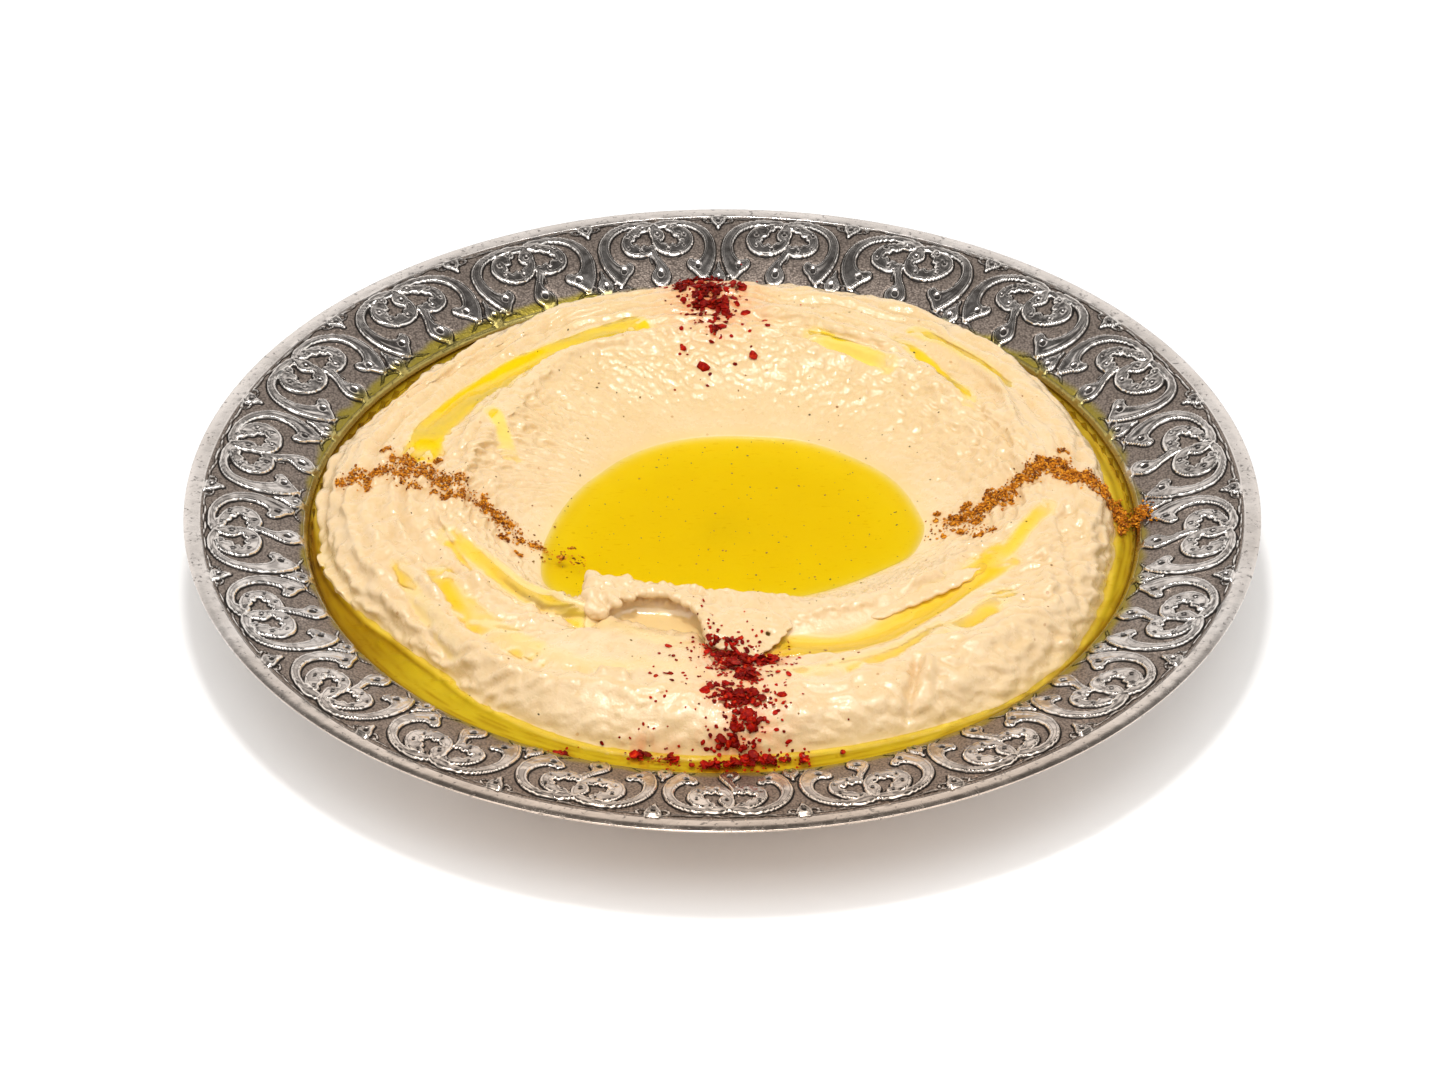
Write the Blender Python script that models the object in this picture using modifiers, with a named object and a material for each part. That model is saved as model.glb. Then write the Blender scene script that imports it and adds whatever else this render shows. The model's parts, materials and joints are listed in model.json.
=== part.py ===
"""Hummus in its serving plate.

A round wide-rimmed metal plate, a spread of hummus with a crater, a raised
crest, furrows and an outer mound, and the olive oil that lies in them.
Origin at the centre of the plate's underside, +Z up, the front at -Y.
"""
import math

import bmesh
import bpy

MM = 0.001
STEPS = 72                     # facets round the plate, one every 5 degrees
GAP = 0.32 * MM                # clearance between pieces that touch

# --- plate --------------------------------------------------------------
PLATE_R = 120.0 * MM           # outer edge of the rolled rim
RIM_Z = 24.0 * MM              # height of the rim
BASE_R = 76.0 * MM             # flat underside
WELL_FLOOR_Z = 1.6 * MM        # inside floor of the well
SHEET_T = 1.4 * MM             # thickness of the sheet

# --- fill levels ---------------------------------------------------------
MOAT_Z = 17.0 * MM             # oil round the hummus
LEDGE_Z = 15.2 * MM            # hummus under that oil
POOL_Z = 19.0 * MM             # oil in the crater
CRATER_Z = 15.5 * MM           # floor of the crater
WALL_R = 91.3 * MM             # where the hummus meets the wall of the well
POOL_RX = 44.0 * MM            # half width of the oil in the crater
POOL_RY = 31.5 * MM            # half depth of it

# --- the curl of hummus in front of the crater ----------------------------
CURL_AT = 250.0                # its angle, in degrees
CURL_SPAN = 20.0               # how far it goes either side
CURL_RISE = 1.8 * MM           # its lip above the crest
CURL_DROP = 1.6 * MM           # the hollow outside it below the furrow


def empty_scene():
    for obj in list(bpy.data.objects):
        bpy.data.objects.remove(obj, do_unlink=True)


def material(name, color, roughness, metallic=0.0, alpha=1.0):
    mat = bpy.data.materials.new(name)
    mat.use_nodes = True
    shader = mat.node_tree.nodes["Principled BSDF"]
    shader.inputs["Base Color"].default_value = (*color, 1.0)
    shader.inputs["Roughness"].default_value = roughness
    shader.inputs["Metallic"].default_value = metallic
    shader.inputs["Alpha"].default_value = alpha
    return mat


def turned(name, profile, group):
    """A profile of (radius, height) in metres, turned round Z with a Screw modifier."""
    mesh = bpy.data.meshes.new(name)
    bm = bmesh.new()
    verts = [bm.verts.new((r, 0.0, z)) for r, z in profile]
    for a, b in zip(verts, verts[1:]):
        bm.edges.new((a, b))
    bm.to_mesh(mesh)
    bm.free()
    obj = bpy.data.objects.new(name, mesh)
    group.objects.link(obj)
    screw = obj.modifiers.new("Turn", "SCREW")
    screw.axis = "Z"
    screw.steps = STEPS
    screw.render_steps = STEPS
    screw.use_merge_vertices = True
    screw.merge_threshold = 0.00005
    return obj


def shaped(name, blank, place, group):
    """A turned blank whose rings are then moved by place(ring, angle) -> (radius, height).

    The blank's rings are told apart by their own radius and height.
    """
    obj = turned(name + "_blank", blank, group)
    bpy.context.view_layer.update()
    graph = bpy.context.evaluated_depsgraph_get()
    mesh = bpy.data.meshes.new_from_object(obj.evaluated_get(graph))
    mesh.name = name
    rings = {(round(r / MM * 20), round(z / MM * 20)): i for i, (r, z) in enumerate(blank)}
    for vert in mesh.vertices:
        x, y, z = vert.co
        radius = math.hypot(x, y)
        ring = rings[(round(radius / MM * 20), round(z / MM * 20))]
        angle = math.degrees(math.atan2(y, x)) % 360.0 if radius > MM else 0.0
        r, h = place(ring, angle)
        if radius > MM:
            vert.co = (r * x / radius, r * y / radius, h)
        else:
            vert.co = (0.0, 0.0, h)
    bpy.data.objects.remove(obj, do_unlink=True)
    made = bpy.data.objects.new(name, mesh)
    group.objects.link(made)
    return made


def smooth(obj, degrees):
    mesh = obj.data
    mesh.shade_smooth()
    mesh.set_sharp_from_angle(angle=math.radians(degrees))


# --- how the hummus varies round the plate --------------------------------
def lobe(angle, centre, width):
    """1 at the centre angle, falling smoothly to 0 at width degrees either side."""
    away = abs((angle - centre + 180.0) % 360.0 - 180.0)
    return 0.5 + 0.5 * math.cos(math.pi * away / width) if away < width else 0.0


def ripple(angle):
    """The unevenness that the spoon leaves, from -1 to 1, the same all over one spoke."""
    a = math.radians(angle)
    return 0.45 * math.sin(5.0 * a + 0.7) + 0.33 * math.sin(9.0 * a + 1.9) + 0.22 * math.sin(13.0 * a)


def pool_r(angle):
    c, s = math.cos(math.radians(angle)), math.sin(math.radians(angle))
    return POOL_RX * POOL_RY / math.hypot(POOL_RY * c, POOL_RX * s)


def crest(angle):
    """The ridge round the crater: low and close in at the front, tall at the back."""
    r = 60.0 + 10.0 * lobe(angle, 5, 40) - 5.0 * lobe(angle, 150, 20) - 21.0 * lobe(angle, 278, 70)
    z = 28.3 + 1.5 * lobe(angle, 95, 70) + 1.7 * lobe(angle, 155, 20) - 3.6 * lobe(angle, 275, 100)
    z += CURL_RISE / MM * lobe(angle, CURL_AT, CURL_SPAN) + 0.35 * ripple(angle)
    return max(r * MM, pool_r(angle) + 6.5 * MM), z * MM


def furrow(angle):
    """The groove outside the crest, deepest in front."""
    r = 69.0 + 5.0 * lobe(angle, 40, 25) - 4.0 * lobe(angle, 200, 45) - 16.0 * lobe(angle, 278, 75)
    z = 25.3 + 0.9 * lobe(angle, 95, 60) + 1.4 * lobe(angle, 0, 35) - 1.2 * lobe(angle, 205, 45) \
        - 4.2 * lobe(angle, 285, 60) - CURL_DROP / MM * lobe(angle, CURL_AT, 1.3 * CURL_SPAN)
    return max(r * MM, crest(angle)[0] + 7.0 * MM), z * MM


def mound(angle):
    """The top of the outer mound."""
    r = 78.5 + 1.5 * lobe(angle, 0, 40) - 6.0 * lobe(angle, 270, 75)
    z = 26.0 + 2.0 * lobe(angle, 95, 60) - 1.4 * lobe(angle, 190, 45) + 1.0 * lobe(angle, 268, 60)
    z += 0.7 * ripple(angle + 60.0)
    return max(r * MM, furrow(angle)[0] + 4.5 * MM), z * MM


def foot_r(angle):
    """Where the hummus goes under the oil at its outer edge."""
    r = 88.0 - 4.3 * lobe(angle, 217, 24) + 2.2 * lobe(angle, 172, 18) - 1.2 * lobe(angle, 262, 30) \
        + 2.2 * lobe(angle, 320, 20) + 0.5 * ripple(angle)
    return min(r, 90.2) * MM


def blend(a, b, t_r, t_z):
    return a[0] + (b[0] - a[0]) * t_r, a[1] + (b[1] - a[1]) * t_z


def top_ring(ring, angle):
    """Radius and height of one ring of the upper surface, ring 0 at the middle."""
    p = pool_r(angle)
    shore = (p, POOL_Z)
    if ring == 0:
        return 0.0, CRATER_Z
    if ring == 1:
        return 0.45 * p, CRATER_Z + 0.1 * MM
    if ring == 2:
        return 0.80 * p, CRATER_Z + 1.0 * MM
    if ring == 3:
        return shore
    if ring == 4:
        return blend(shore, crest(angle), 0.42, 0.36)
    if ring == 5:
        return blend(shore, crest(angle), 0.78, 0.82)
    if ring == 6:
        return crest(angle)
    if ring == 7:
        return blend(crest(angle), furrow(angle), 0.55, 0.62)
    if ring == 8:
        return furrow(angle)
    if ring == 9:
        return blend(furrow(angle), mound(angle), 0.5, 0.62)
    if ring == 10:
        return mound(angle)
    if ring == 11:
        return blend(mound(angle), (foot_r(angle), LEDGE_Z), 0.62, 0.24)
    if ring == 12:
        return foot_r(angle), LEDGE_Z
    return WALL_R, LEDGE_Z


def between(position, angle):
    """A point of the upper surface at a fractional ring."""
    low = int(math.floor(position))
    t = position - low
    a = top_ring(low, angle)
    if t == 0.0:
        return a
    return blend(a, top_ring(low + 1, angle), t, t)


# --- pieces ---------------------------------------------------------------
def make_plate(group):
    slope = (115.0 - 95.0) / 4.7
    upper = [
        (82.0, 2.2), (86.0, 4.5), (89.0, 8.5), (91.0, 13.0), (92.2, 16.5), (93.2, 18.2),
        (95.0, 19.1), (115.0, 19.1 + 20.0 / slope), (118.8, 24.2),
    ]
    under = [
        (119.9, 23.2), (119.0, 22.7), (115.0, 22.2), (95.6, 17.5), (93.7, 16.0), (91.6, 12.2),
        (89.2, 7.0), (85.2, 3.0), (80.0, 0.5),
    ]
    rim = PLATE_R / MM
    profile = [(0.0, WELL_FLOOR_Z), (78.0 * MM, WELL_FLOOR_Z)]
    profile += [(r * MM, z * MM) for r, z in upper]
    profile += [(rim * MM, RIM_Z - 0.1 * MM)]
    profile += [(r * MM, z * MM) for r, z in under]
    profile += [(BASE_R, 0.0), (0.0, 0.0)]
    plate = turned("plate", profile, group)
    plate.data.materials.append(material("silvered_metal", (0.62, 0.58, 0.54), 0.22, 1.0))
    return plate


# the underside of the hummus, one sheet clearance inside the well
UNDER = [(90.3, 11.8), (88.5, 8.2), (85.5, 4.8), (81.6, 2.55), (77.8, 1.6 + 0.34)]


def make_hummus(group):
    tops = 14
    blank = [(ring * 5.0 * MM, 40.0 * MM) for ring in range(tops)]
    blank += [((60.0 - 10.0 * i) * MM, 10.0 * MM) for i in range(len(UNDER))] + [(0.0, 10.0 * MM)]

    def place(ring, angle):
        if ring < tops:
            return top_ring(ring, angle)
        i = ring - tops
        if i < len(UNDER):
            return UNDER[i][0] * MM, UNDER[i][1] * MM
        return 0.0, UNDER[-1][1] * MM

    hummus = shaped("hummus", blank, place, group)
    smooth(hummus, 50)
    hummus.data.materials.append(material("hummus", (0.92, 0.74, 0.45), 0.45))
    return hummus


def make_pool(group):
    """The oil in the crater, its underside one gap above the crater's own facets."""
    edge = 2.86                     # a ring position just inside the shore
    spots = [0.0, 1.0, 2.0, edge]
    blank = [(i * 10.0 * MM, 20.0 * MM) for i in range(4)]
    blank += [(i * 10.0 * MM, 5.0 * MM) for i in (3, 2, 1, 0)]

    def place(ring, angle):
        i = ring if ring < 4 else 7 - ring
        r, z = between(spots[i], angle)
        return (r, POOL_Z) if ring < 4 else (r, z + GAP)

    pool = shaped("oil_pool", blank, place, group)
    smooth(pool, 30)
    pool.data.materials.append(material("olive_oil", (0.80, 0.62, 0.03), 0.05, 0.0, 0.35))
    return pool


def make_moat(group):
    """The oil between the hummus and the wall of the well."""
    blank = [(40.0 * MM, 20.0 * MM), (60.0 * MM, 20.0 * MM), (60.0 * MM, 5.0 * MM),
             (40.0 * MM, 5.0 * MM), (40.0 * MM, 20.0 * MM)]

    def place(ring, angle):
        foot = foot_r(angle)
        shoulder = top_ring(11, angle)
        slant = (foot - shoulder[0]) / (shoulder[1] - LEDGE_Z)
        low, high = LEDGE_Z + GAP, MOAT_Z
        side = 0.36 * MM
        if ring in (0, 4):
            return foot - slant * (high - LEDGE_Z) + side, high
        if ring == 1:
            return 92.0 * MM, high
        if ring == 2:
            return 91.45 * MM, low
        return foot - slant * (low - LEDGE_Z) + side, low

    moat = shaped("oil_moat", blank, place, group)
    smooth(moat, 30)
    moat.data.materials.append(material("olive_oil", (0.80, 0.62, 0.03), 0.05, 0.0, 0.35))
    return moat


def make_film(name, first, last, inner, outer, thickness, group):
    """Oil lying in a furrow: a strip of the surface between two ring positions, lifted by
    one gap and given its thickness by Solidify. first and last are angles in degrees."""
    spokes = round((last - first) / (360.0 / STEPS))
    mesh = bpy.data.meshes.new(name)
    bm = bmesh.new()
    bmesh.ops.create_grid(bm, x_segments=spokes, y_segments=2, size=1.0)
    for vert in bm.verts:
        along = round((vert.co.x + 1.0) / 2.0 * spokes)
        across = round(vert.co.y + 1.0)
        angle = first + along * 360.0 / STEPS
        middle = round((inner + outer) / 2.0)
        end = 0.45 if along in (0, spokes) else 1.0      # the strip narrows at its ends
        spot = (middle - (middle - inner) * end, middle, middle + (outer - middle) * end)[across]
        r, z = between(spot, angle)
        vert.co = (r * math.cos(math.radians(angle)), r * math.sin(math.radians(angle)), z + GAP)
    bmesh.ops.recalc_face_normals(bm, faces=bm.faces)
    if sum(face.normal.z for face in bm.faces) < 0.0:
        bmesh.ops.reverse_faces(bm, faces=bm.faces)
    bm.to_mesh(mesh)
    bm.free()
    film = bpy.data.objects.new(name, mesh)
    group.objects.link(film)
    solid = film.modifiers.new("Depth", "SOLIDIFY")
    solid.thickness = thickness
    solid.offset = 1.0
    film.data.materials.append(material("olive_oil", (0.80, 0.62, 0.03), 0.05, 0.0, 0.35))
    return film


def main():
    empty_scene()
    group = bpy.data.collections.new("hummus_plate")
    bpy.context.scene.collection.children.link(group)
    make_plate(group)
    make_hummus(group)
    make_pool(group)
    make_moat(group)
    make_film("oil_channel_front", 280.0, 335.0, 7.35, 8.7, 0.8 * MM, group)
    make_film("oil_furrow_left", 205.0, 260.0, 7.5, 8.4, 0.6 * MM, group)
    make_film("oil_furrow_back_left", 105.0, 165.0, 7.3, 8.5, 0.6 * MM, group)
    make_film("oil_furrow_back_right", 30.0, 55.0, 7.5, 8.5, 0.6 * MM, group)


main()
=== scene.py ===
"""Looks of the plate of hummus: an embossed metal plate, hummus spread with a spoon,
olive oil in its crater and furrows, chilli flakes, cumin and herb specks.
Lengths inside the functions are millimetres; meshes are written in metres."""
import json
import math

import bmesh
import bpy
import numpy as np
from mathutils import Matrix, Vector
from mathutils.bvhtree import BVHTree

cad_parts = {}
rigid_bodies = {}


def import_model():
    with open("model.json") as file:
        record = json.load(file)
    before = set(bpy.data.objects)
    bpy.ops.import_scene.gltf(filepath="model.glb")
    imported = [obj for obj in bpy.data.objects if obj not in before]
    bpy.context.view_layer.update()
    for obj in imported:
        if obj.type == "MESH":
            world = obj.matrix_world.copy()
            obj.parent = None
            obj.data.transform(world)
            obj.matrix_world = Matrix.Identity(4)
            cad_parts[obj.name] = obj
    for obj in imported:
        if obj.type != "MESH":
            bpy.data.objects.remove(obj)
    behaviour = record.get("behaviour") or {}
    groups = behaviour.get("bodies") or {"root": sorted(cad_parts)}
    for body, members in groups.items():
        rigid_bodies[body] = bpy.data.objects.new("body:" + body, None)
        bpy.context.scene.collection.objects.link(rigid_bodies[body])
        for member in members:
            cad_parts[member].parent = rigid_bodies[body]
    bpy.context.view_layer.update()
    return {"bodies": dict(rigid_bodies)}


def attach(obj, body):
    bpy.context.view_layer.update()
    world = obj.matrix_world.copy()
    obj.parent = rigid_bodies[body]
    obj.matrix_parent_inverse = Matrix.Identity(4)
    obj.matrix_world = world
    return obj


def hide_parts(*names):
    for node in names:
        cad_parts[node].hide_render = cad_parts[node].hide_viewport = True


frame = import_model()
BODY = next(iter(frame["bodies"]))
MM = 0.001
scene = bpy.context.scene

# ---------------------------------------------------------------- small tools
def lerp(a, b, t):
    return a + (b - a) * t


def smoothstep(lo, hi, x):
    t = np.clip((x - lo) / (hi - lo), 0.0, 1.0)
    return t * t * (3.0 - 2.0 * t)


def hash01(ix, iy, seed):
    """A number from 0 to 1 for each pair of whole numbers."""
    h = (ix.astype(np.int64) * 374761393 + iy.astype(np.int64) * 668265263 + seed * 1442695041) & 0xFFFFFFFF
    h = ((h ^ (h >> 13)) * 1274126177) & 0xFFFFFFFF
    h = ((h ^ (h >> 16)) * 2246822519) & 0xFFFFFFFF
    return ((h ^ (h >> 15)) & 0xFFFFFF) / float(0xFFFFFF)


def noise2(x, y, seed=0):
    """Gradient noise, about -0.7 to 0.7, with one cell a unit."""
    ix, iy = np.floor(x), np.floor(y)
    fx, fy = x - ix, y - iy
    ux, uy = fx * fx * fx * (fx * (fx * 6 - 15) + 10), fy * fy * fy * (fy * (fy * 6 - 15) + 10)
    out = 0.0
    for dx in (0, 1):
        for dy in (0, 1):
            a = hash01(ix + dx, iy + dy, seed) * 2.0 * np.pi
            dot = np.cos(a) * (fx - dx) + np.sin(a) * (fy - dy)
            out = out + dot * (ux if dx else 1 - ux) * (uy if dy else 1 - uy)
    return out


def fbm(x, y, seed=0, octaves=4, gain=0.5):
    out, amp = 0.0, 1.0
    for i in range(octaves):
        out = out + amp * noise2(x * 2 ** i + 17.3 * i, y * 2 ** i - 9.1 * i, seed + i)
        amp *= gain
    return out


def pchip_slopes(x, y):
    """Monotone slopes; x and y hold one curve in each last-axis row."""
    h = np.diff(x, axis=-1)
    d = np.diff(y, axis=-1) / h
    w1, w2 = 2 * h[..., 1:] + h[..., :-1], h[..., 1:] + 2 * h[..., :-1]
    same = d[..., 1:] * d[..., :-1] > 0
    safe = np.where(same, d[..., 1:], 1.0), np.where(same, d[..., :-1], 1.0)
    inner = np.where(same, (w1 + w2) / (w1 / safe[1] + w2 / safe[0]), 0.0)
    m = np.zeros_like(y)
    m[..., 1:-1] = inner
    m[..., 0], m[..., -1] = d[..., 0], d[..., -1]
    return m


def around(keys, theta, soft=2.0):
    """A value that varies with the angle (degrees): monotone through the keys, then softened."""
    keys = sorted((a % 360.0, v) for a, v in keys)
    a = np.array([k[0] for k in keys]); v = np.array([k[1] for k in keys], float)
    a3 = np.concatenate([a - 360, a, a + 360]); v3 = np.concatenate([v, v, v])
    m = pchip_slopes(a3, v3)
    grid = np.arange(-30.0, 390.0, 0.5)
    i = np.clip(np.searchsorted(a3, grid) - 1, 0, len(a3) - 2)
    h = a3[i + 1] - a3[i]; t = (grid - a3[i]) / h
    y = ((1 + 2 * t) * (1 - t) ** 2) * v3[i] + t * (1 - t) ** 2 * h * m[i] + t * t * (3 - 2 * t) * v3[i + 1] + t * t * (t - 1) * h * m[i + 1]
    k = np.exp(-0.5 * (np.arange(-16, 17) * 0.5 / soft) ** 2); k /= k.sum()
    y = np.convolve(y, k, mode="same")
    return np.interp(np.mod(theta, 360.0), grid, y)


# ---------------------------------------------------------------- the hummus, in millimetres
POOL_Z, MOAT_Z = 19.0, 17.0

SHORE = [(0, 44), (20, 40.5), (37, 37), (58, 34), (82, 31), (99, 30.7), (122, 31), (144, 31.5), (163, 33.5), (186, 38),
         (203, 43.5), (216, 47.5), (228, 44), (240, 39), (255, 34.5), (270, 33.5), (286, 34), (301, 36), (319, 39),
         (331, 42), (340, 45), (353, 45.5)]
CREST_R = [(57, 60.7), (44, 63), (32, 64.7), (23, 67.2), (13, 69), (5, 69.5), (351, 68.5), (342, 62.5), (333, 56.5),
           (323, 53), (313, 50.5), (305, 48.5), (293, 43), (284, 39), (276, 37), (265, 36.5), (255, 38.0), (245, 41),
           (238, 45), (231, 52), (225, 55.5), (218, 56.3), (205, 57.5), (194, 60), (183, 59.5), (174, 58), (166, 57),
           (156, 55.5), (146, 55.5), (138, 58.5), (125, 61.5), (117, 62.5), (111, 61), (103, 60.5), (94, 60), (78, 60.5),
           (64, 60.5)]
CREST_Z = [(0, 28.5), (350, 27.8), (342, 26.5), (333, 25.5), (313, 25), (293, 24.8), (276, 24.7), (265, 25), (255, 26),
           (245, 26.4), (238, 26), (225, 25.4), (205, 26.3), (194, 28), (174, 28.5), (160, 29.6), (152, 30.2), (138, 29.3),
           (117, 29.3), (90, 29.4), (64, 29.4), (44, 29), (23, 29), (10, 29)]
# the outer edge of the crest's top, then the furrow outside it
BACK_R = [(288, 49.5), (295, 49), (305, 51.5), (312, 53.7), (318, 55), (326, 57), (335, 60.5), (340, 64.5), (348, 69.5), (0, 72),
          (15, 72), (30, 67.5), (45, 66), (60, 62.7), (75, 62.5), (90, 62.5), (105, 62.5), (117, 64.5), (130, 62), (140, 60.5), (152, 58),
          (165, 59.5), (180, 62), (194, 62), (205, 59), (218, 57.5), (228, 56.5), (238, 50.5), (248, 46), (258, 45), (268, 46.5), (278, 48.5)]
BACK_DZ = [(0, -0.3), (60, -0.6), (120, -0.6), (180, -0.6), (215, -0.5), (240, -0.8), (258, -0.9), (275, -0.5), (300, -0.6), (330, -0.5)]
FURROW_R = [(280, 53), (287, 54), (292, 56), (299, 57), (308, 58), (315, 58.5), (322, 60), (330, 62), (337, 66), (345, 72), (0, 75),
            (14, 75), (30, 69.5), (45, 68.5), (64, 64.5), (80, 66.5), (95, 68), (111, 67), (122, 69), (132, 68), (143, 69),
            (154, 70), (166, 69.5), (180, 67), (195, 64), (207, 61), (218, 59.3), (228, 58.5), (238, 54.5), (248, 50.5), (258, 49.5), (268, 50.5)]
FURROW_Z = [(272, 22.0), (282, 21.6), (300, 21.8), (310, 22.2), (322, 23.0), (330, 24.0), (338, 25.3), (348, 27.0), (0, 27.8), (15, 28.0),
            (30, 27.4), (45, 27.4), (64, 28.0), (80, 28.0), (95, 28.3), (111, 27.9), (122, 27.0), (132, 26.6), (143, 26.4), (154, 26.4),
            (166, 26.8), (180, 27.3), (195, 26.0), (207, 25.0), (218, 24.6), (228, 24.3), (238, 23.4), (248, 20.4), (258, 20.3), (266, 21.0)]
MOUND_R = [(90, 79), (60, 81), (45, 82), (30, 81), (15, 79.5), (0, 79.5), (345, 79), (330, 78), (315, 78), (300, 76), (285, 74),
           (270, 74), (255, 74), (240, 74), (225, 73), (215, 73), (205, 75), (190, 78), (180, 79.5), (165, 80), (150, 78),
           (135, 78), (120, 79), (105, 80)]
MOUND_Z = [(90, 28.3), (60, 28), (45, 27.5), (30, 27), (15, 27.2), (0, 26.7), (345, 25.8), (330, 26.3), (315, 26.8), (300, 26.8),
           (285, 26.6), (270, 26.6), (255, 26.4), (240, 26.0), (225, 25.2), (215, 25.0), (205, 25.2), (190, 25.6), (180, 26), (165, 26.8),
           (150, 27.2), (135, 27.3), (120, 27.8), (105, 28.2)]
FOOT_R = [(170, 91.3), (178, 91.3), (183, 90), (192, 89.4), (201, 87.2), (207, 85.7), (213, 83.6), (222, 83.0), (232, 85), (239, 85.6), (245, 86.4),
          (253, 87), (261, 86.5), (275, 86.3), (288, 87), (297, 88), (307, 89.8), (313, 91.0), (320, 91.3), (327, 91.0),
          (338, 89.2), (349, 88), (357, 87.7), (6, 88), (15, 87.7), (30, 88), (45, 89.3), (60, 89.3), (75, 89), (90, 88.5),
          (105, 87.7), (120, 85.7), (135, 85.2), (147, 85), (154, 86.5), (161, 89)]


def rings(theta):
    """Radius and height of the form's guide lines for each angle: arrays of (angles, lines)."""
    shore = around(SHORE, theta)
    c_r, c_z = around(CREST_R, theta), around(CREST_Z, theta)
    b_r = np.maximum(around(BACK_R, theta), c_r + 1.2)
    b_z = c_z + around(BACK_DZ, theta)
    f_r, f_z = np.maximum(around(FURROW_R, theta), b_r + 2.0), around(FURROW_Z, theta)
    m_r, m_z = around(MOUND_R, theta), around(MOUND_Z, theta)
    e_r = around(FOOT_R, theta, 1.5)
    r = [0 * shore, 0.55 * shore, shore - 3.6, shore, lerp(shore, c_r, 0.40), lerp(shore, c_r, 0.78), c_r, b_r, f_r,
         lerp(f_r, m_r, 0.55), m_r, lerp(m_r, e_r, 0.50), lerp(m_r, e_r, 0.84), e_r, np.maximum(e_r + 0.4, 91.9), 0 * shore + 92.8]
    z = [0 * shore + 15.4, 0 * shore + 15.5, 0 * shore + 16.8, 0 * shore + POOL_Z, lerp(POOL_Z, c_z, 0.34), lerp(POOL_Z, c_z, 0.78), c_z,
         b_z, f_z, lerp(f_z, m_z, 0.62), m_z, lerp(m_z, MOAT_Z, 0.16), lerp(m_z, MOAT_Z, 0.58), 0 * shore + MOAT_Z,
         0 * shore + 15.0, 0 * shore + 14.3]
    return np.stack(r, -1), np.stack(z, -1)


def base_z(x, y):
    """Height of the smooth form at plan points, without the curl's overhang."""
    x, y = np.asarray(x, float), np.asarray(y, float)
    th, r = np.degrees(np.arctan2(y, x)), np.hypot(x, y)
    R, Z = rings(th)
    R = np.maximum.accumulate(R + 1e-3 * np.arange(R.shape[-1]), axis=-1)
    m = pchip_slopes(R, Z)
    i = np.clip((R < r[..., None]).sum(-1) - 1, 0, R.shape[-1] - 2)
    take = lambda a, k: np.take_along_axis(a, k[..., None], -1)[..., 0]
    r0, r1, z0, z1, m0, m1 = take(R, i), take(R, i + 1), take(Z, i), take(Z, i + 1), take(m, i), take(m, i + 1)
    h = r1 - r0; t = np.clip((r - r0) / h, 0, 1)
    return ((1 + 2 * t) * (1 - t) ** 2) * z0 + t * (1 - t) ** 2 * h * m0 + t * t * (3 - 2 * t) * z1 + t * t * (t - 1) * h * m1


# ---------------------------------------------------------------- mesh tools
def make_mesh(name, verts_mm, faces, smooth=True):
    """verts: (n, 3) in mm. faces: a list of arrays, each (m, corners)."""
    mesh = bpy.data.meshes.new(name)
    verts = np.asarray(verts_mm, np.float32) * MM
    mesh.vertices.add(len(verts))
    mesh.vertices.foreach_set("co", verts.ravel())
    faces = [np.asarray(f, np.int32) for f in faces if len(f)]
    loops = np.concatenate([f.ravel() for f in faces])
    sizes = np.concatenate([np.full(len(f), f.shape[1], np.int32) for f in faces])
    mesh.loops.add(len(loops))
    mesh.loops.foreach_set("vertex_index", loops)
    mesh.polygons.add(len(sizes))
    mesh.polygons.foreach_set("loop_start", np.concatenate([[0], np.cumsum(sizes)[:-1]]).astype(np.int32))
    mesh.polygons.foreach_set("use_smooth", np.full(len(sizes), smooth))
    mesh.update(calc_edges=True)
    mesh.validate()
    obj = bpy.data.objects.new(name, mesh)
    scene.collection.objects.link(obj)
    return obj


def attribute(obj, name, values):
    values = np.asarray(values, np.float32)
    if values.ndim == 1:
        layer = obj.data.attributes.new(name, "FLOAT", "POINT")
        layer.data.foreach_set("value", values)
    else:
        layer = obj.data.attributes.new(name, "FLOAT_COLOR", "POINT")
        if values.shape[1] == 3:
            values = np.concatenate([values, np.ones((len(values), 1), np.float32)], 1)
        layer.data.foreach_set("color", values.ravel())


def ring_faces(first, second, n):
    """Quads between two rings of n vertices, given by their first indices, wound so that
    going from the first ring (inner) to the second (outer) faces up."""
    i = np.arange(n)
    j = (i + 1) % n
    return np.stack([first + i, second + i, second + j, first + j], 1)


def step_down_faces(fine, coarse, n_coarse, ratio, up):
    """Triangles between a ring of ratio * n_coarse vertices and one of n_coarse."""
    out = []
    i = np.arange(n_coarse)
    a, b = coarse + i, coarse + (i + 1) % n_coarse
    n_fine = n_coarse * ratio
    f = [fine + (i * ratio + k) % n_fine for k in range(ratio + 1)]
    half = ratio // 2
    for k in range(half):
        out.append(np.stack([a, f[k], f[k + 1]], 1))
    out.append(np.stack([a, f[half], b], 1))
    for k in range(half, ratio):
        out.append(np.stack([b, f[k], f[k + 1]], 1))
    tri = np.concatenate(out)
    return tri if up else tri[:, ::-1]


def catmull(points, per=6):
    """A smooth curve through the points, as an array."""
    p = np.asarray(points, float)
    p = np.concatenate([[2 * p[0] - p[1]], p, [2 * p[-1] - p[-2]]])
    out = []
    for k in range(1, len(p) - 2):
        for t in np.arange(per) / per:
            out.append(0.5 * ((2 * p[k]) + (p[k + 1] - p[k - 1]) * t + (2 * p[k - 1] - 5 * p[k] + 4 * p[k + 1] - p[k + 2]) * t * t
                              + (3 * p[k] - p[k - 1] - 3 * p[k + 1] + p[k + 2]) * t ** 3))
    out.append(p[-2])
    return np.array(out)


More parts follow.
